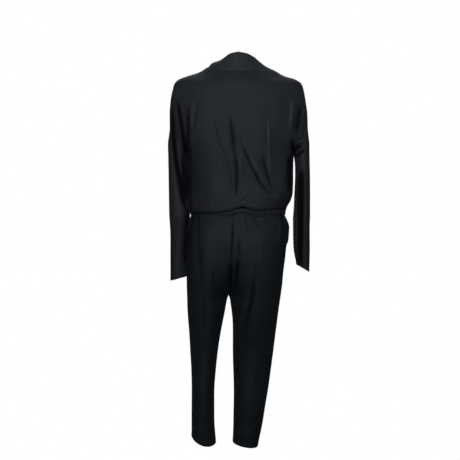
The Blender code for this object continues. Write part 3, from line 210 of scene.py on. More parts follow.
# How far the hem rises at the outer side, at both sides alike, at the front and all round
HEMS = {1: {"tilt": 0.0122, "bow": 0.0091, "front": 0.0060, "lift": 0.0088},
        -1: {"tilt": -0.0075, "bow": 0.0000, "front": 0.0040, "lift": 0.0000}}
POCKET = {"top": LEG_TOP, "bottom": -0.634, "stand": 0.0045, "past": 0.011}
POCKET_SIDE = {1: 0.75, -1: 1.0}      # how far each mouth gapes

# ---------------------------------------------------------------- folds and creases

def folds(rows):
    """Folds of the cloth, one to a row: from x0, z0 past xm, zm to x1, z1; height is negative in a
    trough; wide is its half width; sharp above 1 pinches its crest."""
    return table("x0 z0 xm zm x1 z1 height wide sharp", rows)


# Large folds of each group, on its back and its front
FOLDS = {"upper": (folds("""
290 -1650 170 -2850 20 -4520 -75 90 1.3
-40 -1800 -20 -3000 -120 -4300 55 100 1.0
300 -4000 260 -4300 190 -4660 -50 65 1.2
440 -2300 380 -3300 320 -4400 40 130 1.0
-120 -2900 -480 -3850 -1350 -4620 -80 100 1.3
-200 -2250 -620 -3300 -1300 -4250 70 130 1.0
-790 -2900 -880 -3650 -1300 -4300 -70 95 1.2
-1040 -1650 -1060 -2850 -1240 -4050 60 95 1.2
-1500 -2900 -1550 -3700 -1580 -4500 50 180 1.0
-1280 -4520 -1420 -4700 -1520 -5000 60 90 1.0
-1620 -4400 -1660 -4680 -1600 -4980 -60 80 1.2
960 -1900 750 -2750 360 -4150 -30 90 1.0
1200 -3800 900 -4300 600 -4700 40 240 1.0
1660 -4950 1400 -4730 1000 -4550 -50 80 1.2
140 -5000 -40 -4850 -300 -4520 -65 65 1.2
40 -4900 -120 -4700 -340 -4400 55 70 1.0
1460 -1050 1580 -1600 1660 -2300 -50 75 1.2
1600 -1000 1660 -1650 1720 -2400 55 90 1.0
1760 -980 1760 -1700 1770 -2620 -55 85 1.0
2060 -1000 1900 -2150 1820 -3720 -85 85 1.3
2030 -2000 2050 -2900 1980 -4000 60 100 1.0
2290 -1800 2190 -3300 1840 -5000 -80 80 1.2
2360 -3000 2280 -4200 2140 -5600 50 110 1.0
2050 -4200 1980 -4800 1940 -5700 40 90 1.0
-1960 -1000 -1940 -1800 -1880 -2620 65 85 1.1
-2220 -1100 -2140 -1800 -2000 -2620 -80 130 1.0
-1960 -2550 -1990 -2800 -1980 -3060 -80 80 1.2
-2360 -2620 -2180 -2860 -2020 -3000 -75 75 1.2
-2320 -2400 -2160 -2580 -2040 -2700 50 80 1.0
-2460 -2900 -2400 -4000 -2260 -5200 50 110 1.0
-2260 -3000 -2200 -4200 -2100 -5300 -50 90 1.0
-2380 -4800 -2380 -5600 -2400 -6600 -45 100 1.0
-2220 -5000 -2240 -6000 -2320 -6900 40 90 1.0
2220 -5200 2260 -6000 2220 -7000 -40 100 1.0
-1020 300 -1020 120 -1040 -300 45 60 1.0
-1320 160 -1320 0 -1300 -300 40 80 1.0
1040 400 1060 150 1100 -250 35 70 1.0"""), folds("""
-1600 -1100 -1250 -2300 -600 -3700 -65 110 1.2
-1400 -1200 -950 -2300 -200 -3800 60 130 1.0
-1750 -2300 -1200 -3300 -100 -4550 -70 110 1.2
-1800 -2900 -1200 -3850 100 -4800 60 120 1.0
-1700 -3700 -1100 -4350 0 -4950 -60 90 1.2
-1200 -4300 -700 -4700 200 -5000 50 90 1.0
1650 -1100 1400 -2100 1200 -3300 -60 110 1.1
1400 -1200 1200 -2300 1100 -3400 50 130 1.0
1600 -2800 1500 -3700 1350 -4600 -60 110 1.2
1400 -3300 1280 -4000 1120 -4800 50 110 1.0
-1000 -4700 -1050 -4850 -1080 -5050 -40 70 1.0
-600 -4750 -620 -4900 -600 -5050 40 70 1.0
1500 -4650 1520 -4800 1500 -5000 40 70 1.0
2050 -1100 1920 -2000 1860 -2900 -80 100 1.2
2280 -1800 2220 -3000 2040 -4400 -65 90 1.2
2360 -2800 2280 -4000 2140 -5400 50 110 1.0
2060 -4300 2140 -5000 2220 -5600 -45 80 1.1
2000 -5600 2120 -6200 2260 -6800 40 90 1.0
-2100 -1100 -2020 -1900 -1990 -2750 -80 110 1.2
-2340 -2000 -2260 -3200 -2140 -4500 -60 90 1.2
-2460 -3000 -2400 -4100 -2260 -5400 50 110 1.0
-2140 -4400 -2280 -5000 -2400 -5500 -45 80 1.1
-2160 -5600 -2300 -6200 -2400 -6600 40 90 1.0""")), "lower": (folds("""
1440 -5350 1460 -6600 1400 -7800 -70 130 1.0
1400 -7700 1280 -8600 1240 -9600 -55 110 1.0
1700 -5250 1730 -6200 1720 -7200 45 70 1.1
1580 -5220 1580 -5400 1590 -5700 -45 55 1.2
960 -5400 1040 -7000 1020 -8600 50 170 1.0
880 -7000 810 -7600 780 -8250 -40 80 1.0
400 -6500 460 -7400 600 -8300 40 110 1.0
-30 -6100 20 -7000 160 -7750 -70 80 1.2
-240 -6000 -160 -7000 20 -8000 50 110 1.0
-290 -5240 -330 -5500 -400 -5900 -50 55 1.2
-100 -5240 -120 -5450 -160 -5750 35 55 1.0
-460 -5240 -520 -5480 -600 -5900 40 60 1.0
-600 -5240 -760 -5550 -820 -6100 -55 60 1.3
-800 -5300 -900 -5900 -900 -6800 45 90 1.1
-1040 -5260 -1100 -5500 -1120 -5900 -35 60 1.0
-1260 -5240 -1360 -5450 -1420 -5750 -45 60 1.1
-740 -6900 -560 -7800 -460 -8800 -75 120 1.1
-440 -8500 -280 -9400 0 -10250 -65 105 1.1
-720 -8400 -600 -9300 -400 -10100 50 140 1.0
-1200 -7200 -1120 -8300 -1000 -9500 50 180 1.0
1500 -9800 1400 -10900 1400 -12100 -35 110 1.0
1080 -9600 1060 -10800 1100 -12000 35 110 1.0
-900 -10200 -700 -11300 -550 -12400 -35 110 1.0
-300 -10600 -260 -11600 -240 -12600 35 110 1.0
1500 -12300 1300 -12620 1040 -12850 -40 90 1.0
1580 -12750 1400 -13000 1100 -13180 35 80 1.0
-760 -12400 -500 -12720 -140 -12900 -40 90 1.0
-680 -12850 -440 -13080 -100 -13220 35 80 1.0"""), folds("""
1500 -5300 1460 -6400 1360 -7600 -55 110 1.0
1120 -5240 1100 -5600 1040 -6200 -50 70 1.2
860 -5240 820 -5600 760 -6400 45 80 1.0
560 -5240 500 -5500 460 -6000 -45 65 1.2
300 -5240 280 -5450 260 -5800 35 60 1.0
-120 -5240 -160 -5500 -220 -6000 -45 65 1.2
-400 -5240 -440 -5600 -520 -6400 45 80 1.0
-740 -5240 -800 -5600 -880 -6200 -50 70 1.2
-1200 -5300 -1220 -6400 -1160 -7600 -50 110 1.0
460 -7900 780 -7700 1200 -7350 -60 90 1.2
480 -8300 820 -8150 1300 -7850 50 110 1.0
200 -7900 -100 -7680 -560 -7300 -60 90 1.2
140 -8280 -200 -8120 -700 -7800 50 110 1.0
1280 -8300 1260 -9300 1220 -10300 -45 120 1.0
-700 -8300 -640 -9300 -560 -10300 -45 120 1.0
1000 -9000 1040 -10000 1080 -11000 40 120 1.0
-360 -9000 -340 -10000 -320 -11000 40 120 1.0
1500 -12250 1300 -12550 1040 -12750 -40 90 1.0
1560 -12700 1400 -12960 1100 -13120 35 80 1.0
-760 -12350 -500 -12650 -140 -12820 -40 90 1.0
-680 -12800 -440 -13020 -100 -13160 35 80 1.0"""))}
# Sharper creases that only show on the cloth
CREASES = {"upper": (folds("""
345 -1590 204 -2439 150 -3289 -45 34 1.5
186 -2652 62 -3785 122 -4811 -50 36 1.5
80 -1944 -44 -2935 -133 -4351 14 50 1.0
-62 -2510 -398 -3431 -805 -4139 -45 34 1.5
-487 -3572 -841 -4209 -1301 -4599 -45 36 1.5
-239 -2793 -664 -3643 -1159 -4209 20 50 1.0
-883 -2935 -982 -3678 -1372 -4670 -50 36 1.5
-1074 -1731 -1067 -2793 -1131 -3926 60 42 1.1
69 640 69 180 73 -209 28 22 1.0
-940 -1590 -947 -2439 -982 -3289 -14 40 1.0
912 -1590 717 -2510 363 -3395 -15 32 1.2
469 -3006 292 -3714 168 -4422 -24 30 1.3
-1917 -1059 -1889 -1625 -1818 -2262 48 40 1.1
-1000 -793 -1230 -740 -1513 -829 20 22 1.0
-1000 -988 -1230 -960 -1478 -1023 16 22 1.0
-1018 -882 -1230 -853 -1478 -935 -14 18 1.0
1602 -4953 1425 -4705 1142 -4563 20 30 1.0
1496 -5059 1283 -4847 965 -4740 -18 26 1.0
1248 -5130 1035 -4917 858 -4740 15 30 1.0
44 -4811 -97 -4917 -310 -4953 24 26 1.0
9 -4917 -168 -5024 -381 -5059 -30 26 1.3
-2436 -2644 -2149 -2823 -1898 -2931 -40 32 1.3
-1826 -2608 -1952 -2823 -2113 -3110 -35 32 1.3
-2436 -2428 -2221 -2608 -1934 -2716 24 30 1.0
1448 -1244 1527 -1890 1638 -2572 -26 46 1.1
1674 -956 1663 -1638 1671 -2321 16 36 1.0"""), folds("""
-1650 -1200 -1300 -2350 -650 -3720 -35 38 1.4
-1500 -1180 -1100 -2350 -450 -3780 20 50 1.0
-1760 -2350 -1220 -3340 -120 -4580 -38 38 1.4
-1500 -3500 -950 -4150 40 -4780 -30 34 1.3
-1700 -4000 -1200 -4450 -400 -4860 20 40 1.0
1660 -1150 1430 -2120 1240 -3350 -32 38 1.3
1600 -2850 1510 -3720 1360 -4620 -34 38 1.3
1450 -3000 1340 -3850 1180 -4700 20 45 1.0
2290 -2200 2220 -3150 2050 -4450 -36 42 1.2
-2350 -2250 -2270 -3300 -2150 -4550 -36 42 1.2""")), "lower": (folds("""
-186 -5158 -628 -5286 -1390 -5229 -24 20 1.0
788 -5165 434 -5293 -168 -5158 -18 20 1.0
-1443 -5342 -1464 -5838 -1407 -6546 22 34 1.0
-274 -5236 -292 -5519 -345 -5909 -24 26 1.2
-522 -5271 -664 -5519 -823 -5909 -30 28 1.3
-682 -5413 -770 -6298 -752 -7608 15 32 1.0
1425 -6121 1372 -6900 1319 -7891 -30 50 1.0
1442 -4705 1425 -5555 1382 -6687 -32 50 1.0
-593 -7395 -416 -8493 -44 -9980 -56 52 1.2
-381 -7537 -186 -8599 150 -9838 18 50 1.0
865 -7112 865 -7537 876 -7962 -25 36 1.0
1219 -8387 1219 -8953 1219 -9555 -22 42 1.0
1000 -8245 1000 -9130 1035 -10015 15 42 1.0"""), folds("""
1120 -5240 1090 -5580 1030 -6300 -30 32 1.3
560 -5240 500 -5520 460 -6120 -28 30 1.3
-120 -5240 -160 -5520 -220 -6120 -28 30 1.3
-740 -5240 -800 -5600 -880 -6320 -30 32 1.3
460 -7920 780 -7720 1220 -7350 -36 38 1.3
200 -7920 -100 -7700 -580 -7300 -36 38 1.3
500 -8150 800 -8000 1180 -7750 20 42 1.0
140 -8150 -180 -8000 -560 -7750 20 42 1.0
1280 -8300 1250 -9350 1210 -10400 -26 46 1.1
-700 -8300 -640 -9350 -560 -10400 -26 46 1.1"""))}
# Deep valleys between arm and body and along the arms, pressed straight in from behind or in front
VALLEYS = {"upper": (folds("""
2216 -956 2008 -2105 1886 -3146 -170 54 1.0
1814 -1172 1785 -2177 1814 -3182 -60 85 1.0
1864 -2608 1850 -3685 1843 -4905 -240 110 1.0
2374 -1172 2295 -2608 2094 -4044 -180 60 1.0
2202 -3182 2037 -4259 1814 -5229 -150 58 1.0
1771 -4905 1836 -5767 1929 -7418 -160 64 1.0
-1891 -2967 -1833 -3757 -1876 -4618 -180 80 1.0
-2400 -2787 -2185 -3057 -1952 -3092 -100 46 1.0
-1927 -2536 -1963 -2859 -1998 -3218 -130 50 1.0
-2239 -1172 -2164 -1818 -2006 -2608 -60 85 1.0
-2278 -3541 -2228 -4905 -2243 -7849 -190 85 1.0"""), folds("""
2120 -1250 1960 -2150 1880 -3100 -80 50 1.2
-2160 -1250 -2060 -2050 -2030 -3000 -80 50 1.2
1890 -2700 1860 -3700 1870 -4700 -100 70 1.0
-2030 -2700 -2040 -3700 -2030 -4500 -80 65 1.0""")), "lower": (folds("""
1581 -5165 1584 -5413 1573 -5732 -45 32 1.0
242 -6829 271 -7572 278 -8457 -110 50 1.0
9 -6723 65 -7395 172 -8245 -100 44 1.0
165 -5413 221 -6227 257 -7183 -30 26 1.0
-1428 -4917 -1563 -5378 -1690 -6192 -110 38 1.0
1637 -5271 1701 -5979 1765 -7112 -60 50 1.0
-20 -5979 -23 -6333 2 -6758 -22 28 1.0
-1567 -6032 -1690 -6043 -1814 -6068 -26 24 1.0
-1567 -6298 -1690 -6298 -1814 -6333 -22 24 1.0"""), folds("""
210 -6400 220 -7000 260 -7800 -40 42 1.0
80 -6900 80 -7400 140 -7900 -40 42 1.0"""))}
# The creases take the place of a part of each fold: what is left of it above, and below in the
# folds that start at the waist and in the others
LEFT_UPPER, LEFT_AT_WAIST, LEFT_LOWER = 0.45, 0.40, 0.50
WAIST_FOLDS = -0.535
for fold_table in FOLDS["upper"]:
    fold_table["height"] = fold_table["height"] * LEFT_UPPER
for fold_table in FOLDS["lower"]:
    left = np.where(fold_table["z0"] > WAIST_FOLDS, LEFT_AT_WAIST, LEFT_LOWER)
    fold_table["height"] = fold_table["height"] * left

# Folds of the back fade out where the wall's normal turns to the front, and the other way round:
# how far past the side they reach, and over how much of the normal's y they fade
FOLDS_FACE, CREASES_FACE = (0.10, 0.55), (0.10, 0.45)
VALLEYS_FACE, SHADE_FACES = (0.45, 0.50), (0.05, 0.40)
FOLD_POINTS = 17      # points along a fold
FOLD_REACH = 3        # half widths beyond which it is flat
FOLD_ENDS = 0.35      # part of its length over which it fades at each end


# ---------------------------------------------------------------- curves

def ease(t):
    """Smooth step from 0 at t = 0 to 1 at t = 1."""
    t = np.clip(t, 0.0, 1.0)
    return t * t * (3.0 - 2.0 * t)


def through(xs, ys, t):
    """Smooth curve through table points that never overshoots them."""
    t = np.asarray(t, float)
    step = np.diff(xs)
    slope = np.diff(ys) / step
    same = slope[:-1] * slope[1:] > 0
    total = np.where(same, slope[:-1] + slope[1:], 1.0)
    inner = np.where(same, 2 * slope[:-1] * slope[1:] / total, 0.0)
    tangent = np.concatenate([slope[:1], inner, slope[-1:]])
    i = np.clip(np.searchsorted(xs, t, side="right") - 1, 0, len(xs) - 2)
    s = np.clip((t - xs[i]) / step[i], 0.0, 1.0)
    s2, s3 = s * s, s * s * s
    return ((2 * s3 - 3 * s2 + 1) * ys[i] + (s3 - 2 * s2 + s) * step[i] * tangent[i]
            + (3 * s2 - 2 * s3) * ys[i + 1] + (s3 - s2) * step[i] * tangent[i + 1])


def at(tab, column, t):
    """A column of a table where its first column has the value t."""
    key = next(iter(tab))
    xs, ys = tab[key], tab[column]
    if xs[0] > xs[-1]:
        xs, ys = xs[::-1], ys[::-1]
    return through(xs, ys, t)


def values(tab, columns, t):
    """Several columns of a table at one t."""
    return [float(at(tab, column, t)) for column in columns.split()]


def run_along(points, axis=0):
    """Distance so far at each point, along the lines of an axis."""
    steps = np.linalg.norm(np.diff(points, axis=axis), axis=-1)
    return np.insert(np.cumsum(steps, axis=axis), 0, 0.0, axis=axis)


def read(line, run, wanted):
    """Points of a line where its run has the wanted values."""
    return np.stack([np.interp(wanted, run, line[:, k]) for k in range(3)], axis=-1)


def length(points):
    return float(np.linalg.norm(np.diff(points, axis=0), axis=1).sum())


def even(points, count, usual=None):
    """Points spaced evenly along a dense line, its ends kept. Where the line is longer or shorter
    than usual, only the points near its far end take up the difference."""
    along = run_along(points)
    u = np.linspace(0.0, 1.0, count)
    usual = along[-1] if usual is None else usual
    out = read(points, along, u * usual + (along[-1] - usual) * u ** 4)
    out[0], out[-1] = points[0], points[-1]
    return out


def cut_at(line, x, side):
    """The line from its start at one side as far as x, with its end there."""
    reach, stop = (line[:, 0] - line[0, 0]) * -side, (x - line[0, 0]) * -side
    return np.concatenate([line[reach < stop - 1e-6], read(line, reach, stop)[None]])


# ---------------------------------------------------------------- bodice

DENSE = 241                               # points of a line before it is spaced evenly
ARM_TOP, ARM_BASE = 0.205, 0.305          # fall of the armhole's top and of the underarm
ARM_DEEP = 0.057
ARM_DENSE = 96                            # rows read between them
FALLS_ABOVE = [0.000, 0.012, 0.026, 0.045, 0.066, 0.100, 0.140, 0.180, ARM_TOP]
FALLS_BELOW = [ARM_BASE, 0.320, 0.350, 0.400, 0.450, 0.482, 0.503, 0.514, 0.520, 0.526]
BLOUSE_LEVEL = -0.512                     # level of the last rows, which the blouse line replaces
BLOUSING = (0.430, 0.070)                 # fall from which it does, and over how much
RIM_PULL = (0.020, 0.240)                 # how far in the armhole draws a level, at its ends and between
ARM_SHORTER = 0.020                       # what a level lacks in length halfway down the armhole
ASIDE = 0.35                              # a front parts from the other mostly in depth
UNDER, OVER = -0.0078, 0.0098             # how far the fronts part where they cross


def half_slice(fall, side, face):
    """One half of a level of the bodice: from the centre to the side seam, armhole or shoulder."""
    hand = HAND[side]
    columns = "%s %s square level rise" % (hand, FACE[face])
    width, deep, square, level, rise = values(BODICE, columns, fall)
    t = np.linspace(0.0, math.pi / 2, DENSE)
    x = width * np.sin(t) ** (2.0 / square)
    y = deep * np.maximum(np.cos(t), 0.0) ** (2.0 / square)
    y[-1] = 0.0
    aside = float(at(SIDE, hand, fall)) * np.sin(t) ** 3
    inside = ARM_TOP < fall < ARM_BASE
    if inside:
        top, base = at(BODICE, hand, ARM_TOP), at(BODICE, hand, ARM_BASE)
        s = (ARM_BASE - fall) / (ARM_BASE - ARM_TOP)
        edge_x = base + (top - base) * s
        edge_y = ARM_DEEP * 2.0 * math.sqrt(s * (1.0 - s))
        keep = y > edge_y
        cut_x = np.interp(edge_y, y[::-1], x[::-1])
        x, y = np.append(x[keep], cut_x), np.append(y[keep], edge_y)
        step = np.hypot(np.diff(x), np.diff(y))
        left_over = np.append(np.cumsum(step[::-1])[::-1], 0.0)
        x = x + (edge_x - cut_x) * ease(1.0 - left_over / (RIM_PULL[0] + RIM_PULL[1] * s * (1.0 - s)))
    z = level + rise * (x / width) ** 5
    lines = {way: at(BLOUSE[way], "z", side * x) for way in BLOUSE}
    both = (lines[1] + lines[-1]) / 2
    low = both + (lines[face] - both) * ease(y / 0.04) - BLOUSE_LEVEL
    z = z + low * ease((fall - BLOUSING[0]) / BLOUSING[1])
    return np.stack([side * x, face * y + (0.0 if inside else aside), z], axis=1)


def layer(points, fall, side):
    """How far a front stands in or out where the other front crosses it."""
    x = points[..., 0]
    low, seam = ease((fall - 0.440) / 0.050), at(WRAP, "seam", fall)
    if side > 0:
        cover = ease((seam + 0.090 - x) / 0.030) * ease((fall - 0.060) / 0.080)
        return UNDER * cover * (1.0 - low)
    return OVER * ease((x + seam + 0.072) / 0.030) * low


def push(points, amount):
    """Move points of a level out from the body by amount."""
    flat = points[..., :2].copy()
    flat[..., 0] *= ASIDE
    size = np.linalg.norm(flat, axis=-1, keepdims=True)
    out = points.copy()
    out[..., :2] += flat / np.maximum(size, 1e-6) * np.asarray(amount)[..., None]
    return out


def usual_half(fall, side, face):
    """Length of half a level as it would be without the armhole."""
    if not ARM_TOP < fall < ARM_BASE:
        return length(half_slice(fall, side, face))
    s = float((ARM_BASE - fall) / (ARM_BASE - ARM_TOP))
    top, base = (length(half_slice(f, side, face)) for f in (ARM_TOP, ARM_BASE))
    return base + (top - base) * s - ARM_SHORTER * math.sin(math.pi * s)


def back_row(fall, half):
    """One level of the back, from the left side to the right."""
    left, right = (even(half_slice(fall, side, 1), half + 1, usual_half(fall, side, 1))
                   for side in HAND)
    left[0] = right[0] = (left[0] + right[0]) / 2
    return np.concatenate([left[::-1], right[1:]])


def front_row(fall, side, count):
    """One level of a front, from its side seam across the centre to the shawl band."""
    own, other = half_slice(fall, side, -1)[::-1], half_slice(fall, -side, -1)
    own[-1] = (own[-1] + other[0]) / 2
    seam = float(at(WRAP, "seam", fall)) * side * -1.0
    if side > 0 and fall <= LEFT_NECK[0][-1]:
        seam = float(np.interp(fall, *LEFT_NECK))
    line = cut_at(np.concatenate([own, other[1:]]), seam, side)
    missing = usual_half(fall, side, -1) - length(half_slice(fall, side, -1))
    row = even(line[::-1], count + 1, length(line) + missing)[::-1]
    if fall <= 0.0:
        row = line[0] + (line[-1] - line[0]) * np.linspace(0, 1, count + 1)[:, None]
    edge = ease(np.linspace(0, 1, count + 1) * 4.0)
    return push(row, layer(row, fall, side) * edge)


def spread(values_):
    """The values with FINE steps for each step between them."""
    count = len(values_) - 1
    return np.interp(np.linspace(0, count, count * FINE + 1), np.arange(count + 1), values_)


def arm_falls(count):
    """Falls at even turns round the rim of the armhole, from its top to the underarm."""
    turn = np.linspace(0.0, math.pi, count + 1)
    return ARM_TOP + (ARM_BASE - ARM_TOP) * (1.0 - np.cos(turn)) / 2.0


def falls():
    """Fall of each row of the bodice, at the armhole and in the middle of the piece."""
    rim = arm_falls(COUNTS["arm"] * FINE)
    middle = np.linspace(ARM_TOP, ARM_BASE, len(rim))
    return [np.concatenate([spread(FALLS_ABOVE), within[1:-1], spread(FALLS_BELOW)])
            for within in (rim, middle)]


def woven(row_at, reach):
    """Rows of a bodice piece. They meet the armhole at even turns, where reach is 1, and lie evenly
    one below the other in the middle, where it is 0."""
    stack = np.array([row_at(fall) for fall in arm_falls(ARM_DENSE)])
    column = np.arange(len(reach))
    out = []
    for rim, middle in zip(*falls()):
        row = row_at(rim)
        if ARM_TOP < rim < ARM_BASE:
            fall = middle + (rim - middle) * reach
            turn = np.arccos(np.clip(1.0 - 2.0 * (fall - ARM_TOP) / (ARM_BASE - ARM_TOP), -1.0, 1.0))
            place = turn / math.pi * ARM_DENSE
            k = np.minimum(place.astype(int), ARM_DENSE - 1)
            t = (place - k)[:, None]
            between_ = stack[k, column] * (1.0 - t) + stack[k + 1, column] * t
            row = np.where((reach == 1.0)[:, None], row, between_)
        out.append(row)
    return np.array(out)


# ---------------------------------------------------------------- collar

def chest_fall(z):
    """Fall of the level of the chest at height z."""
    return float(np.interp(-z, -BODICE["level"][:CHEST_ROWS], BODICE["fall"][:CHEST_ROWS]))


def chest(x, z):
    """Depth of the front at a point of the chest or waist."""
    width, square, deep = values(BODICE, HAND[1 if x > 0 else -1] + " square front", chest_fall(z))
    q = np.clip(np.abs(x) / width, 0.0, 0.995)
    return float(-deep * (1.0 - q ** square) ** (1.0 / square))


def collar_grid(side, seam_points, along, across):
    """Band from its seam edge to its free edge."""
    columns = "inward back up_%s roll_%s" % (HAND[side], HAND[side])
    rows = []
    for point, s in zip(seam_points, along):
        inward, back, up, roll = values(COLLAR, columns, s)
        free = point + np.array([-side * inward, back, up])
        on = float(ease((s - COLLAR_ON_CHEST[0]) / (COLLAR_ON_CHEST[1] - COLLAR_ON_CHEST[0])))
        ahead = math.cos(math.pi / 2 * s) if s < 1.0 else 0.0
        out = np.array([side * (0.85 - 0.6 * on) * (1 - ahead),
                        ahead - (0.25 + 0.75 * on) * (s >= 1.0), 0.35 * (1 - on)])
        row = []
        for t in np.linspace(0.0, 1.0, across + 1):
            p = point + (free - point) * t
            swell = roll * math.sin(math.pi * t)
            if s > 1.0:
                here = min(s - 1.0, chest_fall(p[2]))
                here = here + (s - 1.0 - here) * max(1.0 - 2.0 * t, 0.0)
                lift, base = layer(p[None], here, side)[0], layer(point[None], s - 1.0, side)[0]
                flat_y = chest(p[0], p[2]) + (point[1] - chest(point[0], point[2]))
                p[1] = p[1] * (1.0 - on) + (flat_y - (lift - base)) * on
                if s > CROSSED_FROM:
                    swell *= 1.0 - min(1.0, abs(float(lift)) / CROSSED_FLAT)
            row.append(p + out * swell)
        rows.append(row)
    return np.array(rows)


# ---------------------------------------------------------------- sleeves

def sleeve_ring(tab, side, level, turn):
    """One ring of a sleeve, from its inner side round the back."""
    outer, inner, mid, deep, tilt = values(tab, "outer inner mid deep tilt", level)
    centre, half = (outer + inner) / 2, (outer - inner) / 2
    full = 1.0 + 0.10 * ease((-0.25 - level) / 0.08)
    px, py = (np.sign(w) * np.abs(w) ** (1.0 / full) for w in (np.cos(turn), np.sin(turn)))
    return np.stack([side * (centre - half * px), mid + deep * py, level - tilt * px], axis=1)


# ---------------------------------------------------------------- trousers

def leg_row(tab, face, level):
    """One level of half a leg, from the side seam to the inside of the leg."""
    outer, inner, crest, mid, deep = values(tab, "outer inner crest mid " + FACE[face], level)
    top = mid + face * deep
    if level > CROTCH + 1e-9:
        inner, inner_y = values(RISE, "%s_x %s" % (FACE[face], FACE[face]), level)
    elif abs(level - CROTCH) < 1e-9:
        inner, inner_y = CROTCH_POINT
    else:
        inner_y = CROTCH_POINT[1] + (mid - CROTCH_POINT[1]) * float(ease((CROTCH - level) / 0.05))
    square = 2.3 - 0.3 * float(ease((-0.75 - level) / 0.2))
    if level > -0.60:
        square = 2.4 - 0.1 * float(ease((-0.52 - level) / 0.08))
    t = np.linspace(0.0, math.pi / 2, DENSE)
    q, oval = np.sin(t), np.maximum(np.cos(t), 0.0)
    x1 = crest + (outer - crest) * oval ** (2.0 / square)
    y1 = mid + (top - mid) * q ** (2.0 / square)
    x2 = crest + (inner - crest) * q
    w = float(ease((CROTCH + 0.01 - level) / 0.05))
    y2 = inner_y + (top - inner_y) * (oval * w + (1.0 - q ** 1.8) * (1.0 - w))
    x1[0], y1[0], x2[-1], y2[-1] = outer, mid, inner, inner_y
    x, y = np.append(x1, x2[1:]), np.append(y1, y2[1:])
    return np.stack([x, y, np.full(len(x), level)], axis=1)


def waist_arc(side, face, seam, level):
    """The waist line from the side seam to the centre seam."""
    power = 2.0 / WAIST["square"]
    t = np.linspace(math.pi / 2, -math.pi / 2, 2 * DENSE)
    s, c = np.sin(t), np.maximum(np.cos(t), 0.0)
    width = np.where(s * side > 0, WAIST["left"], WAIST["right"])
    x = side * np.sign(s) * np.abs(s) ** power * width
    y = face * WAIST[FACE[face]] * c ** power
    y[0] = 0.0
    line = cut_at(np.stack([x, y, np.full(len(x), level)], axis=1), seam, side)
    line[-1, 0] = seam
    return line


def gape(level, side):
    """How far the pocket mouth stands open at a level, from 0 to 1."""
    t = (POCKET["top"] - level) / (POCKET["top"] - POCKET["bottom"])
    return math.sin(math.pi * min(max(t, 0.0), 1.0)) * POCKET_SIDE[side]


def leg_grid(tab, side, face, levels, count):
    """Half a leg, with the pocket mouth standing off at the side of the front."""
    rows, hem = [], HEMS[side]
    for level in levels:
        line = leg_row(tab, face, level)
        g = gape(level, side) if face < 0 else 0.0
        past = POCKET["past"] * max(0.0, g - 0.60) / 0.40
        if past > 0.0:
            back = leg_row(tab, 1, level)
            line = np.concatenate([read(back, run_along(back), np.linspace(past, past / 6, 6)), line])
        row = even(line, count + 1)
        if level > UNDER_WAIST:
            seam = float(at(RISE, FACE[face] + "_x", level))
            ring = even(waist_arc(side, face, seam, level), count + 1)
            row = ring + (row - ring) * float(ease((LEG_TOP - level) / OWN_SHAPE))
            drape = casing_line(row[:, 0], row[:, 1], -1.0) - LEG_TOP
            row[:, 2] += drape * float(ease((level + 0.600) / 0.0765))
        if g > 0.0:
            stand = POCKET["stand"] * min(1.0, g * 2.6)
            row[:, 0] += side * stand * (1.0 - ease((run_along(row) - past) / 0.035))
        w = float(ease((HEM_FROM - level) / HEM_OVER))
        outer, inner = values(tab, "outer inner", level)
        reach = (row[:, 0] - inner) / (outer - inner) * 2.0 - 1.0
        row[:, 2] += w * (hem["lift"] + hem["tilt"] * reach + hem["bow"] * reach ** 2
                          - hem["front"] * np.clip(row[:, 1] / 0.06, -1, 1))
        rows.append(row)
    return np.array(rows)


# ---------------------------------------------------------------- casing

def casing_line(x, y, part):
    """Height of a casing line, part from -1 at its lower edge to 1 at its upper edge."""
    back = ease((y + 0.03) / 0.06)
    z, half = (back * at(CASING_BACK, k, x) + (1 - back) * at(CASING_FRONT, k, x) for k in ("z", "half"))
    return z + half * part


def casing_grid(around_points, across):
    """The casing from its lower to its upper edge, swelling a little between them."""
    rows = []
    for part in np.linspace(-1.0, 1.0, across + 1):
        ring = around_points.copy()
        ring[:, 2] = casing_line(ring[:, 0], ring[:, 1], part)
        size = np.linalg.norm(ring[:, :2], axis=1, keepdims=True)
        ring[:, :2] += ring[:, :2] / size * (CASING_SWELL * (1.0 - part * part))
        rows.append(ring)
    return np.array(rows)


# ---------------------------------------------------------------- folds and walls

def fold_field(points, tab):
    """Height of all folds of a table at each point, by its place in front view."""
    xz = points[..., [0, 2]].reshape(-1, 2)
    total = np.zeros(len(xz))
    s = np.linspace(0.0, 1.0, FOLD_POINTS)
    for fold in np.stack(list(tab.values()), axis=1):
        a, m, b = fold[:6].reshape(3, 2)
        height, wide, sharp = fold[6:]
        bend = 2 * m - (a + b) / 2
        line = np.outer((1 - s) ** 2, a) + np.outer(2 * s * (1 - s), bend) + np.outer(s * s, b)
        reach = FOLD_REACH * wide
        box = ((xz > line.min(0) - reach) & (xz < line.max(0) + reach)).all(axis=1)
        if not box.any():
            continue
        p = xz[box]
        best, place = np.full(len(p), 1e9), np.zeros(len(p))
        for k in range(len(s) - 1):
            d = line[k + 1] - line[k]
            u = np.clip(((p - line[k]) @ d) / (d @ d), 0.0, 1.0)
            away = np.linalg.norm(p - (line[k] + u[:, None] * d), axis=1)
            near = away < best
            best = np.where(near, away, best)
            place = np.where(near, (k + u) / (len(s) - 1), place)
        taper = ease(place / FOLD_ENDS) * ease((1.0 - place) / FOLD_ENDS)
        shape = np.exp(-np.abs(best / wide) ** (2.0 / sharp ** 0.5) * 0.9)
        total[box] += height * taper * shape
    return total.reshape(points.shape[:-1])


def facing(unit, reach):
    """How much each point counts as the back's, and how much as the front's."""
    past, over = reach
    return ease((unit[..., 1] + past) / over), ease((past - unit[..., 1]) / over)


def two_fields(points, tables, unit, reach):
    """Heights of the folds of the back and of the front, each on its own side."""
    return [fold_field(points, tab) * part for tab, part in zip(tables, facing(unit, reach))]


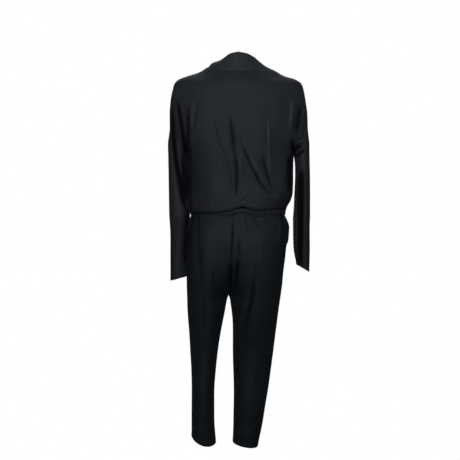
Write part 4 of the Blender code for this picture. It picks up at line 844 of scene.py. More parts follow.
def normals_of(grid, closed):
    """Unit normals of a grid of points, rows down and columns round."""
    if closed:
        wrap = np.concatenate([grid[:, -1:], grid, grid[:, :1]], axis=1)
        across = wrap[:, 2:] - wrap[:, :-2]
    else:
        across = np.gradient(grid, axis=1)
    n = np.cross(across, np.gradient(grid, axis=0))
    return n / np.maximum(np.linalg.norm(n, axis=2, keepdims=True), 1e-12)


# ---------------------------------------------------------------- the cut pieces

# Steps across each piece, half of the back and of the armhole's rim, and down the sleeves and legs
COUNTS = {"back": 18, "front": 14, "collar": 3, "arm": 8, "sleeve": 12, "seat": 9, "leg": 12,
          "trouser_back": 12, "trouser_front": 9, "casing": 3}
# Levels along a sleeve, a seat and a leg: the part of the steps that each level takes
SLEEVE_STEPS = ([0, 0.08, 0.25, 1.0], [-0.250, -0.278, -0.350])
SEAT_STEPS = ([0, 0.12, 0.35, 0.6, 0.8, 1.0], [LEG_TOP, -0.545, -0.620, -0.710, -0.775, CROTCH])
LEG_STEPS = ([0, 0.1, 0.3, 0.6, 0.85, 1.0], [CROTCH, -0.835, -0.920, -1.090, -1.270, -1.351])

# Shared normals: how often and by how much they turn towards a face that leans away further than
# is even, and the furthest lean that the wall's thickness makes up for
TURNS, TURN_BY, EVEN_LEAN, MOST_LEAN = 40, 0.12, 0.97, 0.35
PER_PLACE = 1e7       # points closer than a tenth of a micrometre are one

# Middle surface of a piece: its points, whether it closes round, its group of folds, how freely it
# folds at each point and which way is out
Piece = namedtuple("Piece", "grid closed group free way")


def steps(count, parts, levels):
    """Levels in FINE times count steps."""
    return np.interp(np.linspace(0, 1, count * FINE + 1), parts, levels)


def bodice_pieces():
    """The back, both fronts, both halves of the shawl band and the sleeves."""
    half, count = COUNTS["back"] * FINE, COUNTS["front"] * FINE
    middle_falls = falls()[1]
    calm = 1.0 - ease((middle_falls - 0.490) / 0.024)
    aside = np.abs(np.arange(-half, half + 1)) / half
    back = woven(lambda fall: back_row(fall, half), ease((aside - 0.25) / 0.65))
    out = {"bodice_back": Piece(back, False, "upper", calm[:, None], (0, 1, 0))}
    aside = 1.0 - np.arange(count + 1) / count
    for side, name in HAND.items():
        front = woven(lambda fall: front_row(fall, side, count), ease((aside - 0.30) / 0.60))
        out["bodice_front_" + name] = Piece(front, False, "upper", calm[:, None], (0, -1, 0))
        neck = back[0, :half + 1][::-1] if side > 0 else back[0, half:]
        along = np.concatenate([np.linspace(0.0, 1.0, half + 1), [1.003], 1.0 + middle_falls[1:]])
        band = collar_grid(side, np.concatenate([neck, front[:, -1]]), along, COUNTS["collar"] * FINE)
        quiet = np.concatenate([np.ones(half + 1), calm])
        out["collar_" + name] = Piece(band, False, "upper", quiet[:, None], "band")
        tab = SLEEVES[side]
        levels = steps(COUNTS["sleeve"], SLEEVE_STEPS[0], SLEEVE_STEPS[1] + [tab["level"][-1]])
        turn = np.linspace(0.0, 2 * math.pi, 2 * COUNTS["arm"] * FINE + 1)[:-1]
        tube = np.array([sleeve_ring(tab, side, level, turn) for level in levels])
        out["sleeve_" + name] = Piece(tube, True, "upper", 1.0, "tube")
    return out


def trouser_pieces():
    """Back and front of each leg, and the casing round the waist."""
    levels = np.concatenate([steps(COUNTS["seat"], *SEAT_STEPS), steps(COUNTS["leg"], *LEG_STEPS)[1:]])
    top, out = {}, {}
    for side, name in HAND.items():
        for face, part in FACE.items():
            grid = leg_grid(LEGS[side], side, face, levels, COUNTS["trouser_" + part] * FINE)
            below = casing_line(grid[..., 0], grid[..., 1], -1.0) - grid[..., 2]
            top[part, name] = grid[0]
            free = ease(below / 0.014)
            out["trouser_%s_%s" % (part, name)] = Piece(grid, False, "lower", free, (0, face, 0))
    ring = np.concatenate([top["back", "left"], top["back", "right"][::-1][1:],
                           top["front", "right"][1:], top["front", "left"][::-1][1:-1]])
    out["waistband"] = Piece(casing_grid(ring, COUNTS["casing"] * FINE)[::-1], True, None, 1.0, "tube")
    return out


def outward(grid, closed, way):
    """Unit normals that point out of the garment."""
    n = normals_of(grid, closed)
    if way == "tube":
        away = grid - grid.mean(axis=1, keepdims=True)
    elif way == "band":
        away = (grid - np.array([0.0, -0.02, 0.0])) * np.array([1, 1, 0])
    else:
        away = np.broadcast_to(np.array(way, float), grid.shape)
    return -n if float((n * away).sum()) < 0 else n


def same_places(grids):
    """All points of the grids, the first at each place, and which place each point has."""
    points = np.concatenate([g.reshape(-1, 3) for g in grids])
    keys = np.round(points * PER_PLACE).astype(np.int64)
    _, first, index = np.unique(keys, axis=0, return_index=True, return_inverse=True)
    return points, first, index.ravel()


def split_like(data, grids):
    """Data of all points cut up again into the shapes of the grids."""
    ends = np.cumsum([g.shape[0] * g.shape[1] for g in grids])[:-1]
    return [part.reshape(g.shape[:2] + part.shape[1:]) for part, g in zip(np.split(data, ends), grids)]


def share(grids, normals):
    """Give points that two pieces share one normal, and how far its wall face leans there."""
    index = same_places(grids)[2]
    flat = np.concatenate([m.reshape(-1, 3) for m in normals])
    total = np.zeros((index.max() + 1, 3))
    np.add.at(total, index, flat)
    total /= np.maximum(np.linalg.norm(total, axis=1, keepdims=True), 1e-9)

    def leaning():
        dots, lean = (flat * total[index]).sum(axis=1), np.ones(len(total))
        np.minimum.at(lean, index, dots)
        return dots, lean[index]

    for _ in range(TURNS):
        dots, lean = leaning()
        worst = (dots <= lean + 1e-9) & (lean < EVEN_LEAN)
        np.add.at(total, index[worst], TURN_BY * flat[worst])
        total /= np.maximum(np.linalg.norm(total, axis=1, keepdims=True), 1e-9)
    return split_like(total[index], grids), split_like(np.clip(leaning()[1], MOST_LEAN, 1.0), grids)


def folded(made):
    """The middle surfaces with the folds of their group pressed in or raised."""
    units, _ = share([p.grid for p in made.values()],
                     [outward(p.grid, p.closed, p.way) for p in made.values()])
    out = {}
    for (name, piece), unit in zip(made.items(), units):
        out[name] = piece.grid
        if piece.group is not None:
            behind, ahead = two_fields(piece.grid, FOLDS[piece.group], unit, FOLDS_FACE)
            out[name] = piece.grid + unit * ((behind + ahead) * piece.free)[..., None]
    return out


def joined(made, grids):
    """Every piece with the normals it shares with its neighbours: its points, whether it closes
    round, its normals and how far each wall face leans from them."""
    units, leans = share([grids[name] for name in made],
                         [outward(grids[name], p.closed, p.way) for name, p in made.items()])
    out = {}
    for (name, piece), unit, lean in zip(made.items(), units, leans):
        grid = grids[name].copy()
        if name.startswith("bodice_front"):        # the short straight end at the neck
            t = np.linspace(0.0, 1.0, grid.shape[1])
            for rows, along in ((grid, t[:, None]), (unit, t[:, None]), (lean, t)):
                rows[0] = rows[0, 0] + (rows[0, -1] - rows[0, 0]) * along
        out[name] = (grid, piece.closed, unit, lean)
    return out


def wall_mesh(grid, closed, unit, lean, wall):
    """Points and triangles of the closed wall round a middle surface."""
    half = (wall / 2 / lean)[..., None]
    down, across = grid.shape[:2]
    size = down * across
    points = np.concatenate([(grid + unit * half).reshape(-1, 3), (grid - unit * half).reshape(-1, 3)])
    middle = grid.reshape(-1, 3)
    number = np.arange(size).reshape(down, across)
    if closed:
        number = np.concatenate([number, number[:, :1]], axis=1)
    a, b = number[:-1, :-1].ravel(), number[:-1, 1:].ravel()
    c, d = number[1:, 1:].ravel(), number[1:, :-1].ravel()
    one_way = np.linalg.norm(middle[a] - middle[c], axis=1)
    short = (one_way <= np.linalg.norm(middle[b] - middle[d], axis=1))[:, None]
    one = np.where(short, np.stack([a, b, c], 1), np.stack([a, b, d], 1))
    two = np.where(short, np.stack([a, c, d], 1), np.stack([b, c, d], 1))
    sheet = np.concatenate([one, two])
    faces = [sheet, sheet[:, ::-1] + size]
    edges = [(number[0, 1:], number[0, :-1]), (number[-1, :-1], number[-1, 1:])]
    if not closed:
        edges += [(number[:-1, 0], number[1:, 0]), (number[1:, -1], number[:-1, -1])]
    for p, q in np.concatenate([np.stack(edge, 1) for edge in edges]):
        # both pieces at a seam split its end faces from the higher point
        if middle[p][2] > middle[q][2]:
            faces.append(np.array([[p, q, q + size], [p, q + size, p + size]]))
        else:
            faces.append(np.array([[p, q, p + size], [q, q + size, p + size]]))
    return points, np.concatenate(faces)


# ---------------------------------------------------------------- small relief

SEAM_DIP, SEAM_WIDE = 0.0008, 0.0017      # how deep a sewn seam pulls the cloth in
ALLOWANCE, PROUD = 0.0075, 0.00035        # where the pressed allowance ends, and how far it lifts
HEM = {"sleeve": 0.012, "trouser": 0.013}
HEM_THICK = 0.0006
BESIDE_SEAM = [0.0008, 0.0017, 0.0030, 0.0050, 0.0075, 0.0100]       # extra lines of the cloth's mesh
BESIDE_HEM = [0.0020, 0.0060, 0.0090, 0.0105, 0.0114, 0.0122, 0.0131, 0.0145, 0.0170]
# Slow waves of loose cloth: part of x and of z, waves per 2 pi metres, phase
RIPPLES = [(0.9, 0.31, 61.0, 1.3), (-0.4, 0.92, 43.0, 4.1), (0.75, -0.66, 83.0, 2.2),
           (0.98, 0.1, 127.0, 0.4), (0.6, 0.8, 31.0, 5.2), (-0.85, 0.5, 97.0, 3.0)]
RIPPLE_HIGH = 0.00055
# Gathers round the waist: how many, phase, size
PUCKERS = [(37, 0.7, 1.0), (53, 2.1, 0.9), (71, 4.0, 0.8), (94, 5.5, 0.55)]
PUCKER_HIGH = 0.0005
SEAMS = {"bodice_back": ("top", "first", "last"), "bodice_front": ("top", "first", "last"),
         "collar": ("top", "first"), "sleeve": ("top",), "waistband": ("top", "bottom"),
         "trouser": ("top", "first", "last")}
# How strongly a seam shows where it isn't 1: by piece and edge, and along the armhole's levels
SEAM_SHOWS = {("bodice_back", "top"): 0.35, ("collar", "top"): 0.35, ("sleeve", "top"): 0.20}
ARMHOLE_SEAMS = (("bodice_back", "first"), ("bodice_back", "last"), ("bodice_front", "first"))
ARMHOLE_LEVELS = (-0.320, -0.150)
CREASE_DEEP, RIDGE_HIGH = 0.0065, 0.0050      # a crease this deep has its full painted shade, a ridge this high its full painted highlight

# Jersey rounds its bends off: full within, none past this distance, and rounds of evening out
SOFTEN = {"armhole": (0.012, 0.055, 200), "neckline": (0.003, 0.012, 14)}
UNDERARM = (-0.302, 60)                       # level and rounds of the band between the armholes
HIPS = (-0.568, 120)
# Lines of each kind of piece that stay where they are meanwhile
HELD = {"bodice_back": [np.s_[-1]], "bodice_front": [np.s_[-1], np.s_[20:, -1]],
        "collar": [np.s_[:, -1]], "sleeve": [], "waistband": [np.s_[:]],
        "trouser": [np.s_[0], np.s_[-1], np.s_[:, 0]]}
EVEN_BY = 0.6                                 # how far a point moves to the middle of its neighbours
SLEEVE_OVER, BODY_OVER = 0.0016, 0.0010       # how far both move where the left arm touches the body
TUBE_ROUNDS = 3                               # rounds of evening out the creases of a tube


def kind_of(name):
    return next(kind for kind in SEAMS if name.startswith(kind))


def line_places(run, start, end):
    """Where lines of the mesh go along an edge, in old lines: run is the distance at each of these,
    start and end the distances of the extra lines from the edge's two ends."""
    places = list(range(len(run)))
    for d in start + [run[-1] - d for d in end]:
        p = float(np.interp(d, run, np.arange(len(run))))
        places = [q for q in places if abs(q - p) > 0.22 or q in (0, len(run) - 1)] + [p]
    return np.array(sorted(places))


def between(grid, places, axis):
    """The grid read at fractional lines along an axis, on smooth curves through its points."""
    grid = np.moveaxis(grid, axis, 0)
    last = len(grid) - 1
    k = np.minimum(places.astype(int), last - 1)
    t = (places - k).reshape((-1,) + (1,) * (grid.ndim - 1))
    a, b, c, d = grid[np.maximum(k - 1, 0)], grid[k], grid[k + 1], grid[np.minimum(k + 2, last)]
    out = b + 0.5 * t * (c - a + t * (2 * a - 5 * b + 4 * c - d + t * (3 * (b - c) + d - a)))
    return np.moveaxis(out, 0, axis)


def with_edges(name, grid, closed, free):
    """The grid and its freedom to fold with close lines beside seams and hems."""
    kind = kind_of(name)
    first, last = (BESIDE_SEAM if edge in SEAMS[kind] else [] for edge in ("first", "last"))
    rows = line_places(run_along(grid).mean(axis=1), BESIDE_SEAM, BESIDE_HEM if kind in HEM else [])
    columns = line_places(run_along(grid, 1).mean(axis=0), first, last)
    free = np.broadcast_to(free, grid.shape[:2])
    grid, free = between(grid, rows, 0), between(free, rows, 0)
    if not closed:
        grid, free = between(grid, columns, 1), between(free, columns, 1)
    return grid, free


def edge_relief(name, grid):
    """The cloth dips at its seams and lies a little proud over the allowance beside them. The
    turned-up hem is a second layer, pressed in where it is stitched."""
    down, over = run_along(grid), run_along(grid, 1)
    away = {"top": down, "bottom": down[-1] - down, "first": over, "last": over[:, -1:] - over}
    kind, total, z = kind_of(name), 0.0, grid[..., 2]
    for edge in SEAMS[kind]:
        near = away[edge]
        dip = -SEAM_DIP * np.exp(-(near / SEAM_WIDE) ** 2)
        proud = PROUD * ease((near - 0.002) / 0.003) * (1.0 - ease((near - ALLOWANCE) / 0.003))
        shows = SEAM_SHOWS.get((kind, edge), 1.0)
        if (kind, edge) in ARMHOLE_SEAMS:
            at_arm = (z < ARMHOLE_LEVELS[1]) & (z > ARMHOLE_LEVELS[0])
            shows = np.where(at_arm, SEAM_SHOWS["sleeve", "top"], 1.0)
        total = total + shows * (dip + proud)
    if kind not in HEM:
        return total
    past = away["bottom"] - HEM[kind]
    pressed = 0.0006 * np.exp(-((past + 0.001) / 0.0016) ** 2)
    return total + (HEM_THICK * (1.0 - ease(past / 0.003)) - pressed)


def soft_waves(grid):
    """Slow unevenness of cloth that hangs freely."""
    x, z = grid[..., 0], grid[..., 2]
    total = 0.0
    for i, (ax, az, k, phase) in enumerate(RIPPLES):
        bend = 1.7 * np.sin(13.0 * z + 9.0 * x + i)
        total = total + np.sin(k * (ax * x + 0.35 * az * z) + phase + bend) / (1.0 + k / 60.0)
    return RIPPLE_HIGH * total


def waist_puckers(name, grid):
    """Small gathers that the elastic makes above and below the casing."""
    x, y, z = np.moveaxis(grid, 2, 0)
    turn = np.arctan2(y * 1.7, x)
    wave = PUCKER_HIGH * sum(size * np.sin(n * turn + phase + 1.6 * np.sin(5 * turn + phase))
                             for n, phase, size in PUCKERS)
    if name.startswith("trouser"):
        drop = casing_line(x, y, -1.0) - z
        return wave * np.exp(-np.maximum(drop, 0.0) / 0.022) * ease(drop / 0.006)
    if name.startswith("bodice"):
        over = z - casing_line(x, y, 0.0)
        return wave * np.exp(-np.maximum(over - 0.004, 0.0) / 0.020) * ease((0.2 - over) / 0.1)
    return wave if name == "waistband" else 0.0


def relief(name, grid):
    free = 0.0 if name == "waistband" else 1.0
    return edge_relief(name, grid) + free * soft_waves(grid) + waist_puckers(name, grid)


def crease_relief(group, grid, unit, closed):
    """How far the creases of a group move each point, and how deep in a crease or high on a ridge
    it lies, which sets the painted shade and painted highlight of the cloth."""
    if group is None:
        return np.zeros_like(grid), np.zeros(grid.shape[:2])
    height = sum(two_fields(grid, CREASES[group], unit, CREASES_FACE))
    behind, ahead = two_fields(grid, VALLEYS[group], unit, VALLEYS_FACE)
    moved = unit * height[..., None]
    moved[..., 1] += behind - ahead
    back, front = facing(unit, SHADE_FACES)
    return (blurred(moved) if closed else moved), height + behind * back + ahead * front


def blurred(field):
    """The field of a tube evened a little, so that no crease is narrower than its mesh can show."""
    for _ in range(TUBE_ROUNDS):
        wide = np.pad(field, ((0, 0), (1, 1), (0, 0)), mode="wrap")
        mean = (wide[1:-1, :-2] + wide[1:-1, 2:] + field[:-2] + field[2:]) / 4
        field = np.concatenate([field[:1], field[1:-1] * (1 - EVEN_BY) + mean * EVEN_BY, field[-1:]])
    return field


def softened(made, grids):
    """The middle surfaces with their bends at the armholes, the neckline, the underarm and the hips
    rounded off, as jersey does."""
    points, first, index = same_places(grids.values())
    number = dict(zip(grids, split_like(index, grids.values())))
    place, links, held = points[first], [], np.zeros(len(first), bool)
    for name, own in number.items():
        wrap = np.concatenate([own, own[:, :1]], axis=1) if made[name].closed else own
        links += [np.stack([wrap[:, :-1].ravel(), wrap[:, 1:].ravel()]),
                  np.stack([own[:-1].ravel(), own[1:].ravel()])]
        for line in HELD[kind_of(name)]:
            held[own[line]] = True
    a, b = np.concatenate(links, axis=1)
    a, b = np.concatenate([a, b]), np.concatenate([b, a])
    degree = np.bincount(a, minlength=len(place))[:, None]

    def evened(place, weight, rounds):
        weight = (weight * ~held)[:, None]
        for _ in range(rounds):
            total = np.stack([np.bincount(a, place[b, k], len(place)) for k in range(3)], axis=1)
            place = place + EVEN_BY * weight * (total / degree - place)
        return place

    rims = {"armhole": [grids["sleeve_left"][0], grids["sleeve_right"][0]],
            "neckline": [grids["bodice_back"][0], grids["bodice_front_left"][:12, -1],
                         grids["bodice_front_right"][:12, -1]]}
    for kind, lines in rims.items():
        full, none, rounds = SOFTEN[kind]
        line = np.concatenate(lines)
        away = np.concatenate([np.linalg.norm(part[:, None] - line[None], axis=2).min(axis=1)
                               for part in np.array_split(place, 64)])
        weight = 1.0 - ease((away - full) / (none - full))
        if kind == "armhole":
            weight = weight * ease((place[:, 2] + 0.285) / 0.040)
        place = evened(place, weight, rounds)
    x, z = np.abs(place[:, 0]), place[:, 2]
    level, rounds = UNDERARM
    middle = (1.0 - ease((np.abs(z - level) - 0.006) / 0.030)) * ease((0.172 - x) / 0.030)
    place = evened(place, middle, rounds)
    level, rounds = HIPS
    hips = 1.0 - ease((np.abs(z - level) - 0.012) / np.where(z < level, 0.120, 0.034))
    place = evened(place, hips ** 2, rounds)
    out = dict(zip(grids, split_like(place[index], grids.values())))
    for name in ("sleeve_left", "bodice_back", "bodice_front_left"):
        x, z = out[name][..., 0], out[name][..., 2]
        along = ease((z + 0.505) / 0.025) * ease((-0.306 - z) / 0.016)
        if name == "sleeve_left":
            along = along + ease((-0.522 - z) / 0.018) * (1.1 + 1.2 * ease((-0.560 - z) / 0.100))
            x -= SLEEVE_OVER * along * ease((0.205 - x) / 0.012)
        else:
            x += BODY_OVER * along * ease((x - 0.168) / 0.012)
    return out


# ---------------------------------------------------------------- materials

# One black jersey throughout: the upper pieces are set lighter than the trousers and the collar
# lightest, as painted light towards the top and painted shade down the legs
JERSEY = {"bodice": (0.0182, 0.0198, 0.0244), "collar": (0.0268, 0.0282, 0.0322),
          "sleeve": (0.0186, 0.0202, 0.0242), "waistband": (0.0178, 0.0194, 0.0232),
          "trouser": (0.0112, 0.0144, 0.0174)}
THREAD, THREAD_TONES = (0.0150, 0.0165, 0.0200), (0.7, 1.3)
TWIST = 1500.0                       # scale of the thread's twist
WHITE, BLACK = (1.0, 1.0, 1.0, 1.0), (0.0, 0.0, 0.0, 1.0)
WALE, COURSE = 0.0011, 0.0009        # width and height of one knitted stitch
DYE, DYE_TONES = 7.0, (0.82, 1.18)   # scale of uneven dye, its darkest and lightest tone
FUZZ = 900.0                         # scale of the fuzz
PAINTED_CREASE_SHADE, PAINTED_RIDGE_HIGHLIGHT = 0.92, 0.9             # how much painted shade darkens a crease and a painted highlight lightens a ridge


class Graph:
    """Shader nodes of a material or world, and a short way to add and join them."""

    def __init__(self, owner):
        owner.use_nodes = True
        self.owner, self.tree = owner, owner.node_tree

    def fill(self, node, inputs):
        """Give a node's inputs their values, or join them to sockets."""
        for key, value in inputs.items():
            if isinstance(value, bpy.types.NodeSocket):
                self.tree.links.new(value, node.inputs[key])
            else:
                node.inputs[key].default_value = value

    def add(self, kind, inputs, output=0, **settings):
        """A new node's output."""
        node = self.tree.nodes.new("ShaderNode" + kind)
        for key, value in settings.items():
            setattr(node, key, value)
        self.fill(node, inputs)
        return node.outputs[output]

    def math(self, operation, *inputs):
        return self.add("Math", dict(enumerate(inputs)), operation=operation)

    def noise(self, scale, detail):
        place = self.add("TexCoord", {}, "Object")
        return self.add("TexNoise", {0: place, "Scale": scale, "Detail": detail})

    def mix(self, part, one, other, blend="MIX"):
        """Two colours mixed. A ShaderNodeMix has its colours at the inputs 6 and 7 and the output 2."""
        return self.add("Mix", {0: part, 6: one, 7: other}, 2, data_type="RGBA", blend_type=blend)

    def tones(self, part, colour, tones):
        """Between a darker and a lighter tone of a colour."""
        dark, light = ((*[c * tone for c in colour], 1.0) for tone in tones)
        return self.mix(part, dark, light)

    def surface(self, inputs):
        """Fill the material's shader, and give the material."""
        self.fill(self.tree.nodes["Principled BSDF"], inputs)
        return self.owner


def jersey(name, colour):
    """Fine plain-knit jersey: rows of V stitches, uneven dye, a soft sheen, and painted shade in its
    creases and a painted highlight along its ridges.
    """
    g = Graph(bpy.data.materials.new(name))
    flat = g.add("SeparateXYZ", {0: g.add("UVMap", {}, uv_map="cloth")}).node.outputs
    across, up = g.math("MULTIPLY", flat[0], 1.0 / WALE), g.math("MULTIPLY", flat[1], 1.0 / COURSE)
    column = g.math("FRACT", across)
    arm = g.math("ABSOLUTE", g.math("SUBTRACT", column, 0.5))
    rib = g.math("SINE", g.math("MULTIPLY", column, math.pi))
    stitch = g.math("SINE", g.math("MULTIPLY", g.math("ADD", up, arm), 2 * math.pi))
    loops = g.math("MULTIPLY", rib, g.math("ADD", g.math("MULTIPLY", stitch, 0.35), 0.65))
    fuzz, cloud = g.noise(FUZZ, 3.0), g.noise(DYE, 4.0)
    height = g.math("ADD", loops, g.math("MULTIPLY", fuzz, 0.5))
    bump = g.add("Bump", {"Strength": 0.35, "Distance": 0.00025, "Height": height})
    lit = g.mix(0.45, g.tones(cloud, colour, DYE_TONES), loops, "MULTIPLY")
    # painted shade darkens the cloth's colour deep in its creases and a painted highlight lightens it
    # along its ridges; the creases are also rougher and the ridges smoother
    deep = g.add("Attribute", {}, "Fac", attribute_name="pressed")
    into = g.math("MAXIMUM", deep, 0.0)
    ridge_highlight = g.math("MAXIMUM", g.math("MULTIPLY", deep, -1.0), 0.0)
    worn = g.math("SUBTRACT", 1.0, g.math("MULTIPLY", into, PAINTED_CREASE_SHADE))
    worn = g.math("ADD", worn, g.math("MULTIPLY", ridge_highlight, PAINTED_RIDGE_HIGHLIGHT))
    rough = g.math("ADD", g.math("MULTIPLY", cloud, 0.10), 0.52)
    rough = g.math("ADD", rough, g.math("MULTIPLY", into, 0.36))
    rough = g.math("SUBTRACT", rough, g.math("MULTIPLY", ridge_highlight, 0.08))
    shade = g.add("VectorMath", {0: lit, "Scale": worn}, operation="SCALE")
    return g.surface({"Base Color": shade, "Roughness": rough, "Normal": bump, "IOR": 1.35,
                      "Specular IOR Level": 0.15, "Sheen Weight": 0.02, "Sheen Roughness": 0.45,
                      "Sheen Tint": (0.75, 0.80, 0.90, 1.0)})


def thread_material():
    """Polyester sewing thread, a little shinier than the cloth."""
    g = Graph(bpy.data.materials.new("sewing_thread"))
    shade = g.tones(g.noise(TWIST, 2.0), THREAD, THREAD_TONES)
    return g.surface({"Base Color": shade, "Roughness": 0.42})


# ---------------------------------------------------------------- cloth shells

FREE_EDGES = {"sleeve": "bottom", "trouser": "bottom", "collar": "last"}
RIM = 0.0006          # how far the cloth rounds over at a free edge
WALL_ENDS = math.radians(50)


def placed(name, data):
    item = bpy.data.objects.new(name, data)
    bpy.context.scene.collection.objects.link(item)
    return item


def smooth_object(name, points, faces, material, places=None):
    """An object with its faces turned out. One of cloth has its places on the cloth as UV, in
    metres, and sharp edges where its wall ends."""
    mesh = bpy.data.meshes.new(name)
    mesh.from_pydata(points, [], faces)
    if places is not None:
        corner = np.empty(len(mesh.loops), np.int32)
        mesh.loops.foreach_get("vertex_index", corner)
        layer_ = mesh.uv_layers.new(name="cloth")
        layer_.data.foreach_set("uv", places[corner].astype(np.float32).ravel())
    bm = bmesh.new()
    bm.from_mesh(mesh)
    bmesh.ops.recalc_face_normals(bm, faces=bm.faces)
    if places is not None and bm.calc_volume(signed=True) < 0:
        bmesh.ops.reverse_faces(bm, faces=bm.faces)
    bm.to_mesh(mesh)
    bm.free()
    mesh.shade_smooth()
    if places is not None:
        mesh.set_sharp_from_angle(angle=WALL_ENDS)
    mesh.materials.append(material)
    return placed(name, mesh)


def shell(node, shape, material, pressed):
    """A cut piece as a thin wall, with its place on the cloth and how deep it is creased, which its
    colour shows as painted shade and painted highlight.
    """
    grid = shape[0]
    points, faces = wall_mesh(*shape, CASING_WALL if node == "waistband" else WALL)
    over, down = run_along(grid, 1), run_along(grid)
    middle = over.shape[1] // 2
    flat = np.stack([over - over[:, middle:middle + 1], down], axis=2).reshape(-1, 2)
    places = np.tile(flat, (2, 1))
    piece = smooth_object(node + "_cloth", points.tolist(), faces.tolist(), material, places)
    # painted shade deep in a crease and painted highlight high on a ridge, kept on the points for the
    # cloth's colour
    deep = np.clip(-pressed / CREASE_DEEP, 0.0, 1.0) - np.clip(pressed / RIDGE_HIGH, 0.0, 1.0)
    kept = piece.data.attributes.new("pressed", "FLOAT", "POINT")
    kept.data.foreach_set("value", np.tile(deep.ravel(), 2).astype(np.float32))
    round_rim(piece.data, grid.shape, FREE_EDGES.get(kind_of(node)))
    rim = piece.modifiers.new("rim", "BEVEL")
    rim.width, rim.segments, rim.limit_method = RIM, 2, "WEIGHT"
    return piece


def round_rim(mesh, size, edge):
    """Mark the edges of the wall's free rim, which the cloth turns over and isn't cut."""
    down, across = size[:2]
    number = np.arange(down * across).reshape(down, across)
    on = np.zeros(2 * down * across, bool)
    if edge:
        line = number[-1] if edge == "bottom" else number[:, -1]
        on[line] = on[line + down * across] = True
    ends = np.empty(2 * len(mesh.edges), np.int32)
    mesh.edges.foreach_get("vertices", ends)
    a, b = ends.reshape(-1, 2).T
    same_face = (a < down * across) == (b < down * across)
    weight = mesh.attributes.new("bevel_weight_edge", "FLOAT", "EDGE")
    weight.data.foreach_set("value", (on[a] & on[b] & same_face).astype(np.float32))


# ---------------------------------------------------------------- stitches

STITCH = {"long": 0.0024, "gap": 0.0006, "thick": 0.00028}
STITCH_BENDS = np.array([0.0, 0.22, 0.78, 1.0])     # parts of a stitch where its thread bends
ROUND = ((0.0, 1.0), (1.0, 0.1), (0.0, -0.6), (-1.0, 0.1))      # a thread's section: aside and up
ROWS_APART = 0.0035
MOUTH_ROW, MOUTH_ENDS = 0.006, (0.002, 0.125)       # the row along a pocket mouth


def line_beside(shape, edge, away):
    """Points and normals of a line that runs beside an edge of a piece, on its outer face."""
    grid, closed, unit, _ = shape
    if edge == "first":
        grid, unit, closed = grid.transpose(1, 0, 2), unit.transpose(1, 0, 2), False
    else:
        grid, unit = grid[::-1], unit[::-1]
    down = run_along(grid)
    line, out = (np.array([read(field[:, j], down[:, j], away) for j in range(grid.shape[1])])
                 for field in (grid, unit))
    if closed:
        line, out = (np.concatenate([points, points[:1]]) for points in (line, out))
    out /= np.linalg.norm(out, axis=1, keepdims=True)
    return line + out * (WALL / 2), out


def stitches(name, lines, material):
    """One object with every stitch of some lines: each a short thread that dives in at both ends."""
    points, faces = [], []
    pitch, r = STITCH["long"] + STITCH["gap"], STITCH["thick"]
    for line, out in lines:
        run = run_along(line)
        for i in range(int(run[-1] / pitch)):
            s = STITCH_BENDS * STITCH["long"] + (i + 0.2) * pitch
            p, n = read(line, run, s), read(out, run, s[1])
            n /= np.linalg.norm(n)
            side = np.cross(n, p[3] - p[0])
            side /= max(np.linalg.norm(side), 1e-9)
            k = len(points)
            points.append(p[0] - n * r * 0.8)
            points += [q + side * r * a + n * r * b for q in (p[1], p[2]) for a, b in ROUND]
            points.append(p[3] - n * r * 0.8)
            for a in range(4):
                b = (a + 1) % 4
                faces += [(k, k + 1 + b, k + 1 + a), (k + 1 + a, k + 1 + b, k + 5 + b, k + 5 + a),
                          (k + 5 + a, k + 5 + b, k + 9)]
    return smooth_object(name, [tuple(p) for p in points], faces, material)


def stitch_lines(node, shape):
    """Which rows of stitching a piece carries: two at a hem, one along a pocket mouth."""
    kind = kind_of(node)
    if kind not in HEM:
        return []
    lines = [line_beside(shape, "bottom", HEM[kind] - d) for d in (0.0, ROWS_APART)]
    if "front" in node:
        line, out = line_beside(shape, "first", MOUTH_ROW)
        run = run_along(line)
        keep = (run >= MOUTH_ENDS[0]) & (run <= MOUTH_ENDS[1])
        lines.append((line[keep], out[keep]))
    return lines


# ---------------------------------------------------------------- studio

EYE = (0.0292, 3.0, -0.5767)
HALF_VIEW = 0.8395 / 3.0          # half the picture's width at the garment, over its distance
SENSOR = 36.0
FLOOR, FLOOR_RADIUS = -1.47, 14.0
COOL = (0.90, 0.95, 1.0)
# Soft lights: place, target and size for the back or the left, and power
KEY = ((0.15, 2.4, 0.35), (0.0, 0.0, -0.30), (1.8, 1.7), 56.0)
HIGH = ((0.0, 1.1, 1.35), (0.0, 0.0, -0.10), (1.6, 0.9), 7.0)
SIDE_LIGHT = ((2.4, 0.0, 0.9), (0.0, 0.0, -0.4), (1.2, 1.2), 6.0)
WORLD_LIGHT = 0.03


def aim(item, target):
    way = Vector(target) - item.location
    item.rotation_mode = "QUATERNION"
    item.rotation_quaternion = way.to_track_quat("-Z", "Y")


def camera():
    data = bpy.data.cameras.new("camera")
    data.sensor_width = SENSOR
    data.lens = SENSOR / 2 / HALF_VIEW
    item = placed("camera", data)
    item.location = EYE
    aim(item, (EYE[0], 0.0, EYE[2]))
    bpy.context.scene.camera = item


def softbox(name, place, target, size, power):
    data = bpy.data.lights.new(name, "AREA")
    data.shape = "RECTANGLE"
    data.size, data.size_y = size
    data.energy = power
    data.color = COOL
    item = placed(name, data)
    item.location = place
    aim(item, target)
    item.visible_camera = False


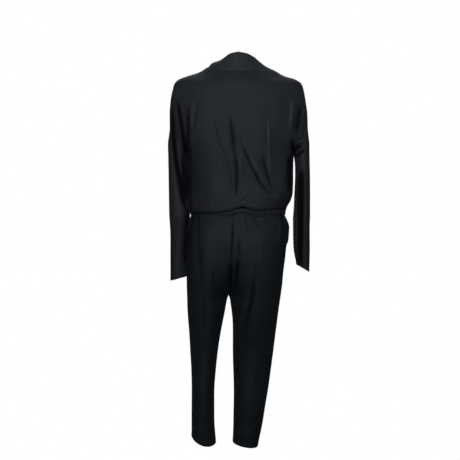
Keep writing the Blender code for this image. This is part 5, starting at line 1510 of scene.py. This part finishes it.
def studio():
    """A camera behind the jumpsuit, lights alike in front and behind, and a plain white room."""
    camera()
    for side, hand in HAND.items():
        for name, (x, y, z), *light in (("key_" + FACE[side], *KEY), ("high_" + FACE[side], *HIGH)):
            softbox(name, (x, y * side, z), *light)
        (x, y, z), *light = SIDE_LIGHT
        softbox("side_" + hand, (x * side, y, z), *light)
    world = bpy.context.scene.world = bpy.data.worlds.new("studio")
    g = Graph(world)
    seen = g.tree.nodes["Background"]
    g.fill(seen, {0: WHITE})
    choose = g.add("MixShader", {0: g.add("LightPath", {}, "Is Camera Ray"),
                                 1: g.add("Background", {0: WHITE, 1: WORLD_LIGHT}), 2: seen.outputs[0]})
    g.fill(g.tree.nodes["World Output"], {0: choose})
    bpy.context.scene.view_settings.view_transform = "Standard"
    bpy.ops.mesh.primitive_circle_add(vertices=96, radius=FLOOR_RADIUS, fill_type="NGON",
                                      location=(0, 0, FLOOR))
    floor = bpy.context.object
    floor.name = "floor"
    paper = Graph(bpy.data.materials.new("white_paper"))
    floor.data.materials.append(paper.surface({
        "Base Color": BLACK, "Specular IOR Level": 0.0, "Roughness": 0.9, "Emission Color": WHITE,
        "Emission Strength": 1.0}))
    floor.visible_diffuse = False
    floor.visible_glossy = False


# ---------------------------------------------------------------- the jumpsuit


def shapes():
    """Middle surface of every piece as it is built, and how far its creases press each point."""
    made = {**bodice_pieces(), **trouser_pieces()}
    grids, pressed = softened(made, folded(made)), {}
    for name, piece in made.items():
        grids[name], free = with_edges(name, grids[name], piece.closed, piece.free)
        made[name] = piece._replace(grid=None, free=free)
    for name, (grid, closed, unit, _) in joined(made, grids).items():
        moved, pressed[name] = crease_relief(made[name].group, grid, unit, closed)
        moved = moved + unit * relief(name, grid)[..., None]
        grids[name] = grid + moved * made[name].free[..., None]
    return joined(made, grids), pressed


def dress():
    """The cloth of every piece, with its stitching."""
    thread = thread_material()
    built, pressed = shapes()
    for node, shape in built.items():
        kind = node.split("_")[0]
        piece = shell(node, shape, jersey(node + "_jersey", JERSEY[kind]), pressed[node])
        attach(piece, "root")
        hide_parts(node)
        lines = stitch_lines(node, shape)
        sewn = []
        if lines:
            sewn = [stitches(node + "_stitches", lines, thread)]
            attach(sewn[0], "root")


def main():
    studio()
    dress()


main()
